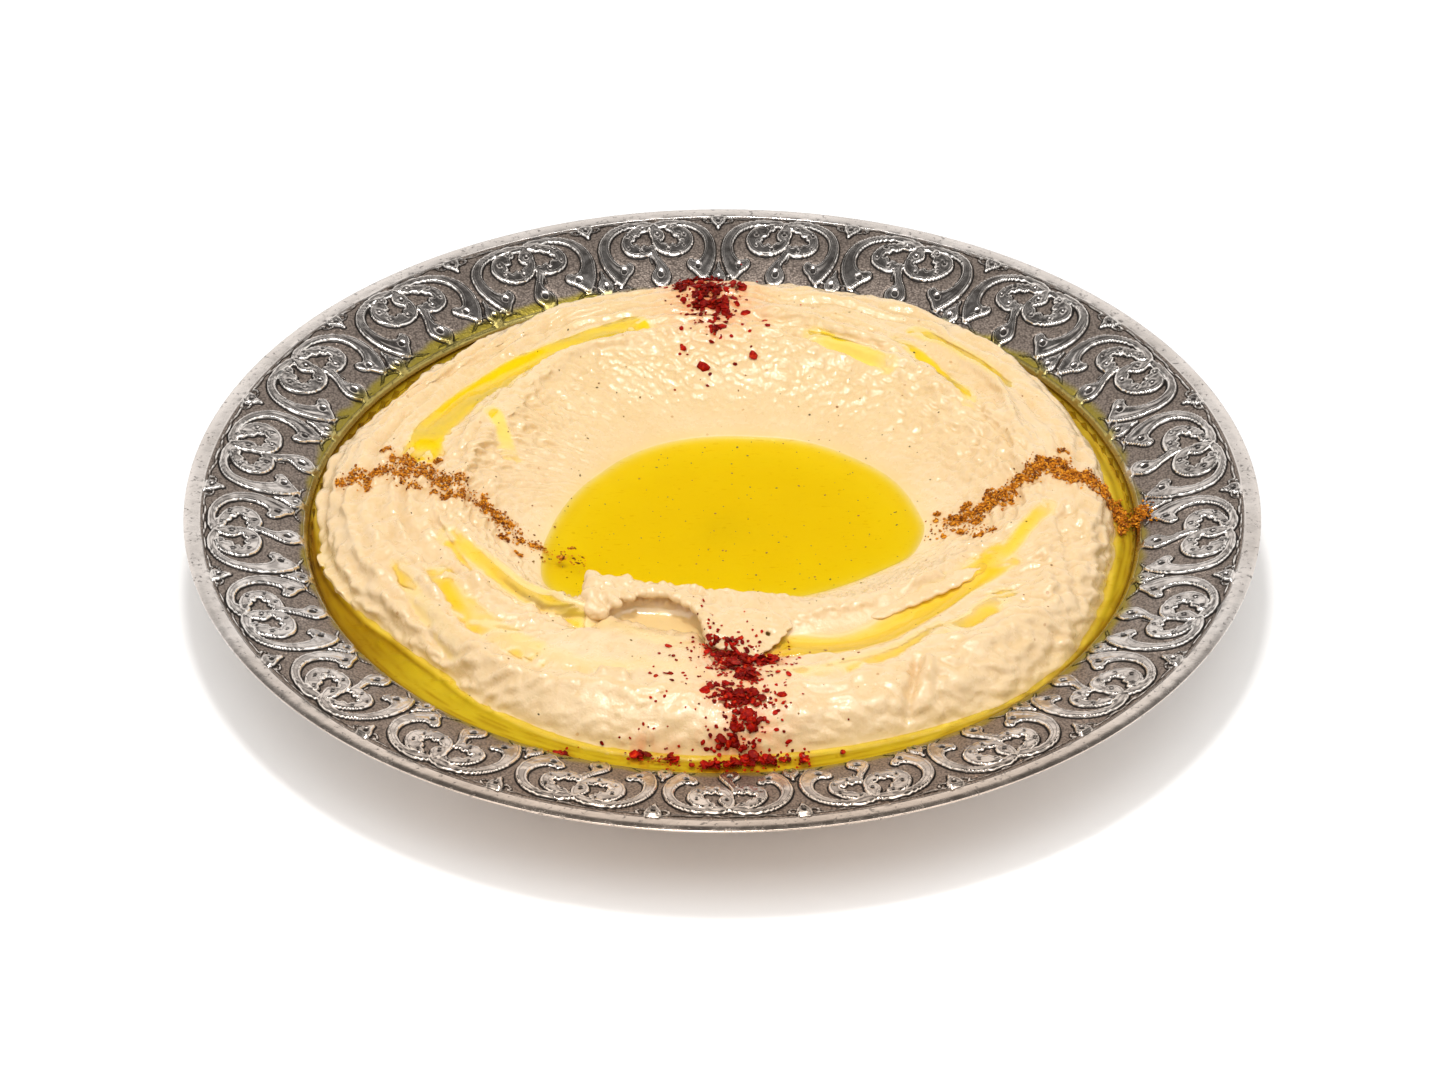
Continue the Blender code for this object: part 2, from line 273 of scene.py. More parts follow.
def lumpy(x, y, seed, low=0.34, high=0.72):
    """Soft round lumps of mixed size, about one a unit square, that run into each other: 0 to about 1."""
    ix, iy = np.floor(x), np.floor(y)
    total = np.zeros(x.shape)
    for dx in (-1, 0, 1):
        for dy in (-1, 0, 1):
            jx, jy = ix + dx, iy + dy
            d2 = (jx + 0.1 + 0.8 * hash01(jx, jy, seed) - x) ** 2 + (jy + 0.1 + 0.8 * hash01(jx, jy, seed + 77) - y) ** 2
            size = low + (high - low) * hash01(jx, jy, seed + 33)
            f = np.maximum(1.0 - d2 / (1.25 * size) ** 2, 0.0)
            total += (size / high * f * f) ** 3
    return np.cbrt(total) - 0.30


def billow(n):
    """Folds: rounded tops, narrow valleys, from gradient noise."""
    return np.sqrt(np.abs(n) + 0.004)


# ---------------------------------------------------------------- the surface of the hummus
COLS = 912
ROWS_PER = [2, 3, 7, 26, 26, 18, 8, 7, 6, 8, 9, 10, 13, 10, 9, 8, 15, 2]

STROKE_GAIN = 1.55

# (name, height, half width on the inner side, half width on the outer side, path)
STROKES = [
    ("rim_lip_left", 0.9, 1.5, 1.3, [(-55.1, -19.2), (-48.7, -26.7), (-42.0, -33.5), (-34.1, -41.9), (-26.5, -44.6), (-17.8, -46.6), (-9.1, -49.7), (-4.3, -52.1)]),
    ("stripe_left", -0.9, 1.3, 1.8, [(-56.3, -22.9), (-48.5, -32.8), (-39.5, -42.4), (-30.8, -47.2), (-22.0, -50.9), (-13.3, -55.6), (-4.7, -62.9)]),
    ("band_left", 0.7, 1.6, 2.4, [(-62.1, -20.7), (-55.1, -33.2), (-46.0, -42.9), (-35.0, -50.8), (-22.0, -54.1), (-11.1, -60.7)]),
    ("crease_left_a", -0.5, 0.6, 0.8, [(-62.3, -15.8), (-55.2, -28.8), (-47.3, -37.9), (-38.4, -44.0), (-28.6, -48.6)]),
    ("furrow_left_b", -0.9, 2.2, 2.6, [(-62.3, -25.9), (-59.2, -39.4), (-54.5, -49.5), (-47.7, -57.7), (-38.9, -64.8), (-28.2, -66.6), (-17.5, -65.8), (-6.8, -68.4)]),
    ("ridge_left_b", 0.9, 2.2, 2.4, [(-72.0, -15.3), (-66.6, -29.6), (-62.1, -42.1), (-57.4, -52.0), (-50.9, -60.0), (-42.1, -67.4), (-32.4, -71.3), (-17.4, -74.5), (-4.7, -75.0)]),
    ("crease_left_c", -0.8, 0.9, 1.2, [(-73.5, -21.7), (-69.9, -34.5), (-64.6, -46.0), (-59.3, -55.2), (-54.6, -63.1), (-51.9, -66.7)]),
    ("ridge_left_c", 0.6, 1.4, 1.6, [(-78.5, -19.7), (-75.2, -32.7), (-70.0, -42.8), (-64.5, -50.7), (-59.5, -59.7)]),
    ("crease_left_d", -0.5, 0.8, 1.0, [(-81.7, -17.0), (-78.0, -30.9), (-73.7, -39.5), (-69.1, -47.1)]),
    ("blob", 1.7, 1.3, 1.3, [(-27.3, -70.3), (-24.7, -69.3), (-21.7, -70.5), (-19.1, -71.9)]),
    ("lip_edge_right", 0.5, 1.6, 0.9, [(12.6, -47.2), (21.3, -44.2), (30.0, -41.9), (38.8, -36.6), (45.5, -32.0), (51.2, -26.5), (57.9, -22.3)]),
    ("lip_torn", 0.9, 1.4, 1.0, [(39.9, -35.8), (44.4, -33.5), (48.8, -30.9)]),
    ("channel_right", -0.7, 2.2, 2.2, [(11.5, -52.7), (21.2, -52.9), (29.8, -52.1), (37.5, -47.2), (45.3, -40.5), (52.0, -34.2), (58.8, -28.2)]),
    ("under_channel", 0.5, 1.2, 1.6, [(11.4, -59.6), (21.1, -60.7), (29.2, -60.3), (37.3, -55.2), (46.2, -46.6), (54.1, -37.6), (60.9, -30.1)]),
    ("furrow_right_b", -0.6, 2.0, 2.0, [(13.5, -69.8), (23.0, -70.2), (31.3, -64.7), (39.4, -57.3), (47.2, -48.1), (55.1, -39.4)]),
    ("patch_right", -0.9, 3.0, 3.0, [(50.9, -53.1), (55.4, -48.7), (59.2, -43.7)]),
    ("lump_groove", -2.3, 1.2, 1.2, [(42.7, -61.7), (41.0, -68.2), (39.8, -73.6), (39.2, -76.9), (39.8, -78.9)]),
    ("lump_nub", 1.2, 1.5, 1.5, [(44.1, -62.9), (44.2, -66.8), (44.4, -70.6)]),
    ("lump_crease", -0.8, 0.9, 0.9, [(46.6, -66.4), (45.4, -71.1), (46.9, -73.3), (49.8, -73.1)]),
    ("lump_top", 1.0, 2.6, 2.6, [(48.9, -61.1), (56.5, -58.0), (64.4, -50.1), (70.0, -47.1), (74.1, -48.2)]),
    ("lump_fold", -0.9, 1.0, 1.2, [(71.0, -47.7), (72.3, -50.8), (71.3, -54.2), (68.6, -57.7), (66.3, -59.7)]),
    ("lump_fold_b", 0.7, 1.4, 1.4, [(73.7, -46.9), (75.5, -48.8), (74.5, -52.1)]),
    ("front_crease", -0.5, 1.2, 1.6, [(13.4, -75.3), (23.0, -74.3), (32.0, -70.1), (39.2, -63.0)]),
    ("right_crease_a", -0.8, 1.0, 1.2, [(73.2, -8.3), (75.4, -19.4), (76.6, -31.3), (78.0, -40.1), (77.4, -46.1)]),
    ("right_ridge_a", 0.7, 1.6, 1.8, [(68.9, -16.8), (71.1, -26.8), (71.9, -37.8), (73.4, -43.9)]),
    ("right_crease_b", -0.6, 1.0, 1.0, [(60.9, -30.1), (65.9, -26.4), (70.2, -26.8), (73.7, -37.2), (74.3, -42.8)]),
    ("right_ridge_b", 0.6, 1.4, 1.8, [(78.4, -6.9), (81.6, -19.0), (82.1, -29.3), (80.9, -37.9)]),
    ("right_crease_c", -0.5, 0.9, 0.9, [(81.6, -10.9), (84.5, -17.0), (84.6, -25.9)]),
    ("yellow_left", -0.8, 2.8, 3.0, [(-67.0, 18.2), (-63.0, 29.9), (-57.1, 37.6), (-48.7, 45.8), (-40.7, 51.5), (-32.7, 54.6), (-22.5, 62.1)]),
    ("ridge_in_left", 0.6, 2.0, 2.0, [(-59.9, 10.4), (-56.9, 20.4), (-52.2, 28.7), (-47.2, 35.7), (-40.5, 42.9), (-31.5, 51.4)]),
    ("peak", 1.0, 2.0, 2.2, [(-49.7, 23.2), (-47.8, 26.7), (-45.9, 30.6)]),
    ("crest_left", 0.7, 1.0, 1.5, [(-58.5, -9.1), (-57.5, 0.6), (-55.6, 9.7), (-52.7, 16.4), (-50.1, 20.7)]),
    ("crest_left_b", 0.7, 1.0, 1.5, [(-45.8, 29.8), (-43.5, 36.3), (-40.5, 42.5), (-36.7, 47.5), (-31.5, 52.4), (-23.5, 55.1), (-14.3, 56.6)]),
    ("outer_groove_a", -0.5, 0.9, 1.0, [(-85.1, 17.1), (-76.6, 30.4), (-66.9, 43.2), (-55.8, 53.2), (-42.2, 64.1), (-28.4, 73.0)]),
    ("outer_groove_b", -0.45, 0.8, 0.9, [(-79.6, 22.0), (-71.1, 34.6), (-61.3, 45.9), (-50.1, 56.2), (-37.6, 66.0), (-23.8, 71.7), (-12.1, 73.6)]),
    ("outer_ridge_a", 0.4, 0.9, 0.9, [(-82.2, 19.1), (-73.7, 32.2), (-64.2, 44.2), (-53.1, 54.9), (-39.9, 65.2), (-26.1, 72.6)]),
    ("outer_groove_c", -0.4, 0.7, 0.8, [(-38.0, 72.5), (-27.5, 77.5), (-17.5, 81.0), (-8.0, 83.0)]),
    ("overlap_back", -1.0, 1.0, 1.5, [(3.7, 66.1), (10.0, 63.2), (16.2, 58.4), (21.5, 55.5), (27.7, 52.1), (34.5, 47.7), (41.9, 43.2)]),
    ("over_ridge_back", 0.9, 1.2, 2.5, [(3.0, 69.5), (11.2, 68.0), (19.3, 64.6), (27.3, 60.0), (36.5, 55.0), (44.4, 50.1)]),
    ("ridge_second", 1.1, 1.3, 1.7, [(44.7, 60.8), (49.2, 56.1), (54.8, 50.5), (60.3, 42.9), (63.8, 34.3), (66.4, 19.8), (67.8, 11.1)]),
    ("furrow_back_right", -1.1, 1.8, 2.2, [(45.4, 61.7), (50.9, 56.9), (57.1, 49.8), (62.6, 43.4), (65.8, 36.9)]),
    ("between_ridges", -0.7, 1.8, 1.6, [(42.3, 55.6), (49.0, 47.6), (54.7, 36.0), (59.6, 26.6), (63.5, 16.3)]),
    ("outer_line_a", -0.35, 0.7, 0.8, [(11.2, 73.7), (25.2, 71.7), (36.8, 67.2), (47.2, 64.9)]),
    ("outer_line_b", -0.4, 0.8, 0.9, [(66.0, 55.5), (70.8, 46.1), (76.0, 34.9), (80.7, 23.7), (84.4, 15.3)]),
    ("outer_line_c", -0.4, 0.8, 0.9, [(65.9, 39.9), (71.1, 29.4), (75.8, 17.3), (79.8, 6.4)]),
]


# (name, CAD nodes it stands for, films: path, half width in, half width out, thickness)
FILMS = [
    ("oil_furrow_left_film", "oil_furrow_left", [
        ([(-61, -18), (-55, -24), (-46, -34), (-37, -41), (-29, -46), (-20, -50), (-13, -53.5), (-4, -58.5)], 2.6, 2.8, 0.50),
        ([(-62, -31), (-56, -42), (-49, -51), (-42, -57.5), (-33, -62.5), (-24, -64.5), (-14, -65), (-6, -66.5)], 3.0, 3.2, 0.34),
        ([(-71, -26), (-67, -37), (-61, -48), (-56, -56)], 1.6, 1.8, 0.20)]),
    ("oil_channel_front_film", "oil_channel_front", [
        ([(10, -54.5), (16, -55), (26, -54.5), (34, -51), (42, -44.5), (50, -38), (57, -31.5), (62, -26)], 6.0, 3.4, 0.90),
        ([(40.5, -40.9), (44, -39.4), (48, -37.4)], 1.4, 1.3, 1.0), ([(52, -34.9), (55.5, -33.0), (58.6, -30.6)], 1.4, 1.4, 1.0),
        ([(12, -66.5), (20, -67), (29, -63.5), (38, -57.5), (46, -50)], 2.6, 2.8, 0.30),
        ([(47, -53), (52, -49.5), (57, -44.5), (61, -39.5)], 3.4, 3.4, 0.55),
        ([(60, -27), (64, -21), (68, -15), (72.5, -8.5)], 2.2, 2.4, 0.6)]),
    ("oil_furrow_back_left_film", "oil_furrow_back_left", [
        ([(-68, 13), (-66, 22), (-61, 31), (-54.5, 40), (-46, 48.5), (-38, 54), (-30, 58.5), (-21, 63)], 5.0, 4.2, 1.0),
        ([(-54, 27), (-51.5, 24), (-49.5, 19), (-47.5, 13.5)], 1.9, 2.2, 0.5)]),
    ("oil_furrow_back_right_film", "oil_furrow_back_right", [
        ([(45, 61), (49.5, 57.5), (55, 52.5), (60, 46.5), (64, 40)], 2.8, 3.0, 0.7),
        ([(21, 59), (27, 55), (33, 50), (38, 46)], 3.0, 2.8, 0.6),
        ([(40, 57), (47, 50), (52.5, 41), (57, 31)], 1.8, 2.0, 0.25)]),
]


def guide_rings(theta):
    """The form's guide lines, with the hollow under the torn curl in front: (angles, lines) of r and z."""
    R, Z = rings(theta)
    th = np.mod(theta, 360.0)
    curl = smoothstep(236.0, 242.0, th) * (1.0 - smoothstep(263.0, 269.0, th))
    edge = np.interp(th, [232, 238, 244, 250, 256, 262, 268, 274], [50.0, 46.5, 42.0, 40.2, 39.6, 40.6, 43.0, 46.0])
    b_r, b_z, f_r, f_z = R[:, 7], Z[:, 7], R[:, 8], Z[:, 8]
    n_r, n_z = lerp(f_r, R[:, 9], 0.35), lerp(f_z, Z[:, 9], 0.12)
    q_r, q_z = R[:, 9], Z[:, 9]
    wide = [(lerp(b_r, f_r, 0.30), lerp(b_z, f_z, 0.42)), (lerp(b_r, f_r, 0.62), lerp(b_z, f_z, 0.82)), (f_r, f_z), (n_r, n_z), (q_r, q_z)]
    hollow = [(edge + 0.9, 23.9), (edge + 1.9, 22.0), (edge + 4.2, 20.9), (lerp(edge, 50.6, 0.72), 20.9 + 0 * edge), (50.7 + 0 * edge, 23.1)]
    R[:, 6] = lerp(R[:, 6], np.minimum(R[:, 6], edge - 1.6), curl)
    mixed = [(lerp(b_r, edge, curl), lerp(b_z, 25.4, curl))]
    mixed += [(lerp(wr, hr, curl), lerp(wz, hz, curl)) for (wr, wz), (hr, hz) in zip(wide, hollow)]
    R = np.concatenate([R[:, :7], np.stack([m[0] for m in mixed], 1), R[:, 10:]], 1)
    Z = np.concatenate([Z[:, :7], np.stack([m[1] for m in mixed], 1), Z[:, 10:]], 1)
    return R, Z


def stroke_field(x, y, path, w_in, w_out, fade=0.22):
    """A bump of height 1 along a path, fading at its ends."""
    c = catmull(path, 5)
    seg = c[1:] - c[:-1]
    length = np.hypot(*seg.T)
    start = np.concatenate([[0], np.cumsum(length)])[:-1]
    total = length.sum()
    lo, hi = c.min(0) - 9, c.max(0) + 9
    near = (x > lo[0]) & (x < hi[0]) & (y > lo[1]) & (y < hi[1])
    px, py = x[near], y[near]
    best = np.full(px.shape, 1e9); side = np.zeros(px.shape); along = np.zeros(px.shape)
    for (ax, ay), (dx, dy), l, s in zip(c[:-1], seg, length, start):
        t = np.clip(((px - ax) * dx + (py - ay) * dy) / (l * l), 0, 1)
        ex, ey = px - ax - t * dx, py - ay - t * dy
        d = np.hypot(ex, ey)
        hit = d < best
        best = np.where(hit, d, best)
        along = np.where(hit, s + t * l, along)
        # outside is the side away from the middle of the plate
        side = np.where(hit, np.sign(ex * (ax + t * dx) + ey * (ay + t * dy)), side)
    w = np.where(side > 0, w_out, w_in)
    end = np.minimum(along, total - along) / (fade * total)
    out = np.zeros(x.shape)
    out[near] = np.exp(-(best / w) ** 2 * 1.2) * smoothstep(0.0, 1.0, end)
    return out


def blurred(Z, times):
    for _ in range(times):
        Z = 0.5 * Z + 0.25 * (np.roll(Z, 1, 0) + np.roll(Z, -1, 0))
        E = np.concatenate([Z[:, :1], Z, Z[:, -1:]], 1)
        Z = 0.5 * Z + 0.25 * (E[:, :-2] + E[:, 2:])
    return Z


def window(th, a, b, soft=8.0):
    """1 between two angles going up, with soft ends."""
    mid, half = 0.5 * (a + b), 0.5 * (b - a)
    away = np.abs(np.mod(th - mid + 180.0, 360.0) - 180.0)
    return 1.0 - smoothstep(half - soft, half + soft, away)


def build_surface():
    theta = np.arange(COLS) * 360.0 / COLS
    R, Z = guide_rings(theta)
    rows = [(k, i / n) for k, n in enumerate(ROWS_PER) for i in range(n)] + [(len(ROWS_PER) - 1, 1.0)]
    u = np.broadcast_to(np.arange(R.shape[1], dtype=float), R.shape)
    mr, mz = pchip_slopes(u, R), pchip_slopes(u, Z)
    k = np.array([a for a, _ in rows]); t = np.array([b for _, b in rows])
    def ev(V, M):
        h00, h10, h01, h11 = (1 + 2 * t) * (1 - t) ** 2, t * (1 - t) ** 2, t * t * (3 - 2 * t), t * t * (t - 1)
        return V[:, k] * h00 + M[:, k] * h10 + V[:, k + 1] * h01 + M[:, k + 1] * h11
    r, z = ev(R, mr), ev(Z, mz)
    pos = k + t                                     # ring position of each row
    th = np.radians(theta)[:, None]
    deg = np.broadcast_to(theta[:, None], r.shape)
    P = np.broadcast_to(pos[None, :], r.shape)
    x, y = r * np.cos(th), r * np.sin(th)

    # where things are: by ring position (3 shore, 6 crest, 10 furrow, 13 mound, 16 foot)
    wall = smoothstep(2.4, 3.6, P) * (1 - smoothstep(5.7, 6.3, P))
    outer = smoothstep(9.5, 12.0, P) * (1 - smoothstep(16.2, 17.0, P))
    front_lip = window(deg, 268, 338, 5) * smoothstep(5.2, 6.0, P) * (1 - smoothstep(7.0, 7.8, P))
    channel = window(deg, 284, 334, 4) * smoothstep(7.4, 8.2, P) * (1 - smoothstep(11.2, 12.0, P))
    cavity = window(deg, 240, 266, 3) * smoothstep(8.2, 8.8, P) * (1 - smoothstep(11.3, 12.0, P))

    # slow unevenness of the whole
    s = np.radians(deg) * 70.0
    slow = 0.9 * fbm(x / 15.0, y / 15.0, 3, 3) * smoothstep(3.2, 6.5, P)
    z = z + slow * (1 - 0.7 * channel) * (1 - 0.8 * cavity)

    for name, a, wi, wo, path in STROKES:
        f = stroke_field(x, y, path, wi, wo)
        f = f * (1 - window(deg, 240, 267, 4) * (1 - smoothstep(12.2, 13.0, P)))
        behind = 1.0 + (0.7 if a < 1.2 else 0.0) * window(deg, 25, 170, 15)
        z = z + (STROKE_GAIN if a > 0 else 1.15) * behind * a * f

    # normals of the form so far, for the finer relief
    def normals(X, Y, Zz):
        Q = np.stack([X, Y, Zz], -1)
        du = np.roll(Q, -1, 0) - np.roll(Q, 1, 0)
        dv = np.gradient(Q, axis=1)
        n = np.cross(dv, du)
        n /= np.maximum(np.linalg.norm(n, axis=-1, keepdims=True), 1e-9)
        n[n[..., 2].sum(1) < 0] *= -1 if False else 1
        return n
    n = normals(x, y, z)
    if n[..., 2].mean() < 0:
        n = -n

    # distance along the surface, outwards, in place of the radius: steep flanks keep their detail round
    step = np.sqrt(np.diff(x, axis=1) ** 2 + np.diff(y, axis=1) ** 2 + np.diff(z, axis=1) ** 2)
    run = np.concatenate([np.zeros((COLS, 1)), np.cumsum(step, axis=1)], 1)
    run = blurred(run, 4)
    run = run - run[:, [int(np.argmin(np.abs(pos - 6.0)))]] + 60.0

    # 1: lumps on the outer mound, in rows along it
    arc = np.radians(deg) * 76.0
    wob1, wob2 = fbm(x / 7.0, y / 7.0, 11, 2), fbm(x / 7.0 + 31, y / 7.0, 12, 2)
    u1, v1 = arc + 1.6 * wob1, run + 1.4 * wob2
    left = smoothstep(7.4, 9.0, P) * (1 - smoothstep(16.4, 17.0, P)) * window(deg, 164, 238, 12)
    rows_in = 0.5 + 0.5 * np.sin(2 * np.pi * (v1 + 0.05 * u1 + 2.2 * noise2(u1 / 15.0, v1 / 12.0, 19)) / 5.0)
    rows_in = np.clip(rows_in + 0.8 * noise2(u1 / 16.0, v1 / 4.0, 20), 0, 1.2)
    big = lumpy((u1 + 0.2 * v1) / 3.9, v1 / 3.3, 21)
    mid = lumpy((u1 - 0.2 * v1) / 2.3, (v1 + 0.1 * u1) / 2.0, 22)
    ragged = noise2(x / 9.0, y / 9.0, 23)
    d = left * (0.85 * (rows_in - 0.45) + (0.45 + 0.75 * rows_in) * (1.05 + 0.7 * ragged) * big + 0.42 * (0.4 + rows_in) * mid)

    # 2: long folds on the right of it
    right = outer * window(deg, 306, 378, 10)
    fp, fq = u1 + 0.75 * v1, v1 - 0.42 * u1
    d = d + right * (1.25 * noise2(fp / 13.0, fq / 3.3, 24) + (0.75 + 0.5 * ragged) * lumpy(fp / 4.6, fq / 2.7, 25) + 0.34 * lumpy(fp / 2.3, fq / 1.8, 26))

    # 3: soft swellings and shallow folds across the front
    front = window(deg, 234, 312, 10) * outer
    b1 = billow(noise2((u1 + 1.5 * wob1) / 9.0, (v1 + 0.25 * u1) / 4.2, 31)) - 0.45
    b2 = lumpy((u1 + wob1) / 4.4, (v1 + wob2) / 3.1, 32)
    b3 = lumpy(u1 / 2.1, v1 / 1.7, 33)
    d = d + front * ((0.42 + 0.6 * np.maximum(ragged, 0)) * b1 + (0.62 + 0.5 * ragged) * b2 + (0.10 + 0.36 * smoothstep(0.0, 0.3, noise2(x / 7.0, y / 7.0, 34))) * b3)

    # 4: layered strokes along the back
    brush = window(deg, 28, 172, 12) * smoothstep(6.4, 7.4, P) * (1 - smoothstep(15.2, 16.4, P))
    rr = run + 1.1 * noise2(s / 24.0, r / 8.0, 41)
    layer = noise2(s / 34.0, rr / 3.1, 42) + 0.42 * noise2(s / 16.0, rr / 1.5, 44)
    torn = lumpy((s + 2 * wob1) / 3.3, rr / 2.5, 43)
    d = d + brush * (1.45 * layer + (0.42 + 0.8 * np.maximum(ragged, 0)) * torn + 0.16 * lumpy(s / 1.7, rr / 1.5, 47))

    # 5: fine drag lines beside the crest on the left
    drag = window(deg, 186, 236, 10) * smoothstep(7.0, 8.2, P) * (1 - smoothstep(12.2, 13.6, P))
    ld = (run + 0.16 * s) / 0.95 + 0.7 * wob1
    d = d + drag * (0.24 * noise2(s / 9.0, ld, 45) + 0.18 * noise2(s / 5.0, ld * 0.5, 46))

    # 6: the crater's skin: overlapping scales at the sides, grit and shallow pits at the back
    sw = np.radians(deg) * 46.0
    side = np.mod(deg - 90 + 180, 360) - 180                 # 0 at the back, + to the left
    slant = np.clip(side / 70.0, -1.2, 1.2) * (1 - smoothstep(120, 150, np.abs(side)))
    wa, wb = sw + 1.1 * noise2(x / 3.6, y / 3.6, 51), run + 0.9 * noise2(x / 3.6 + 9, y / 3.6, 52)
    sa, sb = wa + 0.35 * slant * wb, wb - 0.42 * slant * wa
    high = smoothstep(3.4, 5.2, P)
    at_back = window(deg, 42, 138, 22)
    scales = 1.45 * noise2(sa / 4.6, sb / 1.8, 53) + 0.80 * lumpy(sa / 3.0, sb / 1.7, 54) + 0.26 * lumpy(sa / 1.6, sb / 1.2, 50)
    grit = 0.34 * lumpy(wa / 2.1, wb / 1.8, 58) + 0.24 * lumpy(wa / 1.25, wb / 1.15, 57) - 0.30 * np.maximum(lumpy(wa / 3.2, wb / 2.6, 55, 0.2, 0.5), 0)
    d = d + wall * (0.30 + 0.70 * high) * ((1 - 0.72 * at_back) * scales + (0.35 + 0.75 * at_back) * grit + 0.45 * noise2(x / 6.0, y / 6.0, 56) + 0.30 * at_back * noise2(x / 3.0, y / 2.2, 59))

    # 7: drag lines on the low lip in front
    sl = np.radians(deg) * 45.0
    low = window(deg, 250, 340, 8) * smoothstep(3.6, 4.6, P) * (1 - smoothstep(7.0, 7.8, P))
    e1 = billow(noise2((sl + 0.8 * wob1) / 6.0, (r + 0.12 * sl + 0.6 * wob2) / 1.25, 61)) - 0.45
    d = d * (1 - 0.6 * low) + low * (0.52 * e1 + 0.22 * noise2(sl / 3.0, r / 1.0, 62) + 0.16 * lumpy(sl / 1.8, r / 1.4, 63))

    # 8: the crest's broken edge, and everywhere a little
    smooth_there = np.clip(channel + cavity, 0, 1)
    crest_zone = smoothstep(5.5, 6.1, P) * (1 - smoothstep(8.0, 9.4, P)) * (1 - 0.5 * front_lip)
    edge_lumps = lumpy((s + wob1) / 3.2, run / 2.7, 71)
    small_lumps = lumpy(x / 1.7, y / 1.7, 74)
    tear = np.exp(-((P - 6.0 - 0.5 * noise2(s / 4.0, r / 9.0, 75)) / 0.45) ** 2) * (1 - front_lip)
    d = d + crest_zone * (0.80 * edge_lumps + 0.30 * small_lumps + 0.30 * noise2(x / 2.2, y / 2.2, 72))
    d = d + tear * (0.55 + 0.75 * lumpy(s / 2.5, r / 4.0, 76) + 0.5 * noise2(s / 7.0, r / 30.0, 77)) * (0.35 + 0.65 * window(deg, 20, 175, 15))
    d = d + 0.07 * noise2(x / 1.2, y / 1.2, 73) * smoothstep(3.0, 4.0, P)
    d = d * (1 - 0.92 * smooth_there)
    # the grooves that hold oil were drawn smooth by the spoon
    wet = np.zeros(x.shape)
    for _, _, paths in FILMS:
        for path, wi, wo, thick in paths:
            wet = np.maximum(wet, min(1.0, 0.45 + thick) * stroke_field(x, y, path, wi + 0.4, wo + 0.4, 0.10))
    d = d * (1 - 0.9 * np.clip(1.25 * wet, 0, 1))
    d = d * smoothstep(2.8, 3.9, P) * (1 - (0.55 - 0.45 * window(deg, 160, 236, 10)) * smoothstep(14.8, 15.9, P)) * (1 - smoothstep(16.2, 17.0, P))
    # dent: how far the relief dips below its surroundings; it drives the painted shade in the creases
    dent = d - blurred(d, 14)

    x, y, z = x + n[..., 0] * d, y + n[..., 1] * d, z + n[..., 2] * d
    z = np.where(z > 29.2, 29.2 + 1.2 * np.tanh((z - 29.2) / 1.2), z)
    return dict(theta=theta, x=x, y=y, z=z, pos=P, deg=deg, channel=channel, cavity=cavity, wall=wall, outer=outer, dent=dent)


SURF = build_surface()
SURF_R = np.hypot(SURF["x"], SURF["y"])


def ground(px, py):
    """Height of the hummus at plan points."""
    px, py = np.atleast_1d(np.asarray(px, float)), np.atleast_1d(np.asarray(py, float))
    col = np.mod(np.degrees(np.arctan2(py, px)), 360.0) / 360.0 * COLS
    r = np.hypot(px, py)
    c0 = np.floor(col).astype(int) % COLS
    f = col - np.floor(col)
    out = np.zeros(px.shape)
    for shift, weight in ((0, 1 - f), (1, f)):
        c = (c0 + shift) % COLS
        order = np.argsort(c, kind="stable")
        cs = c[order]
        cuts = np.flatnonzero(np.diff(cs)) + 1
        for idx in np.split(order, cuts):
            j = c[idx[0]]
            rad = np.maximum.accumulate(SURF_R[j])
            out[idx] += weight[idx] * np.interp(r[idx], rad, SURF["z"][j])
    return out


# ---------------------------------------------------------------- materials
def srgb(r, g, b):
    f = lambda c: c / 12.92 if c <= 0.04045 else ((c + 0.055) / 1.055) ** 2.4
    return (f(r / 255.0), f(g / 255.0), f(b / 255.0), 1.0)


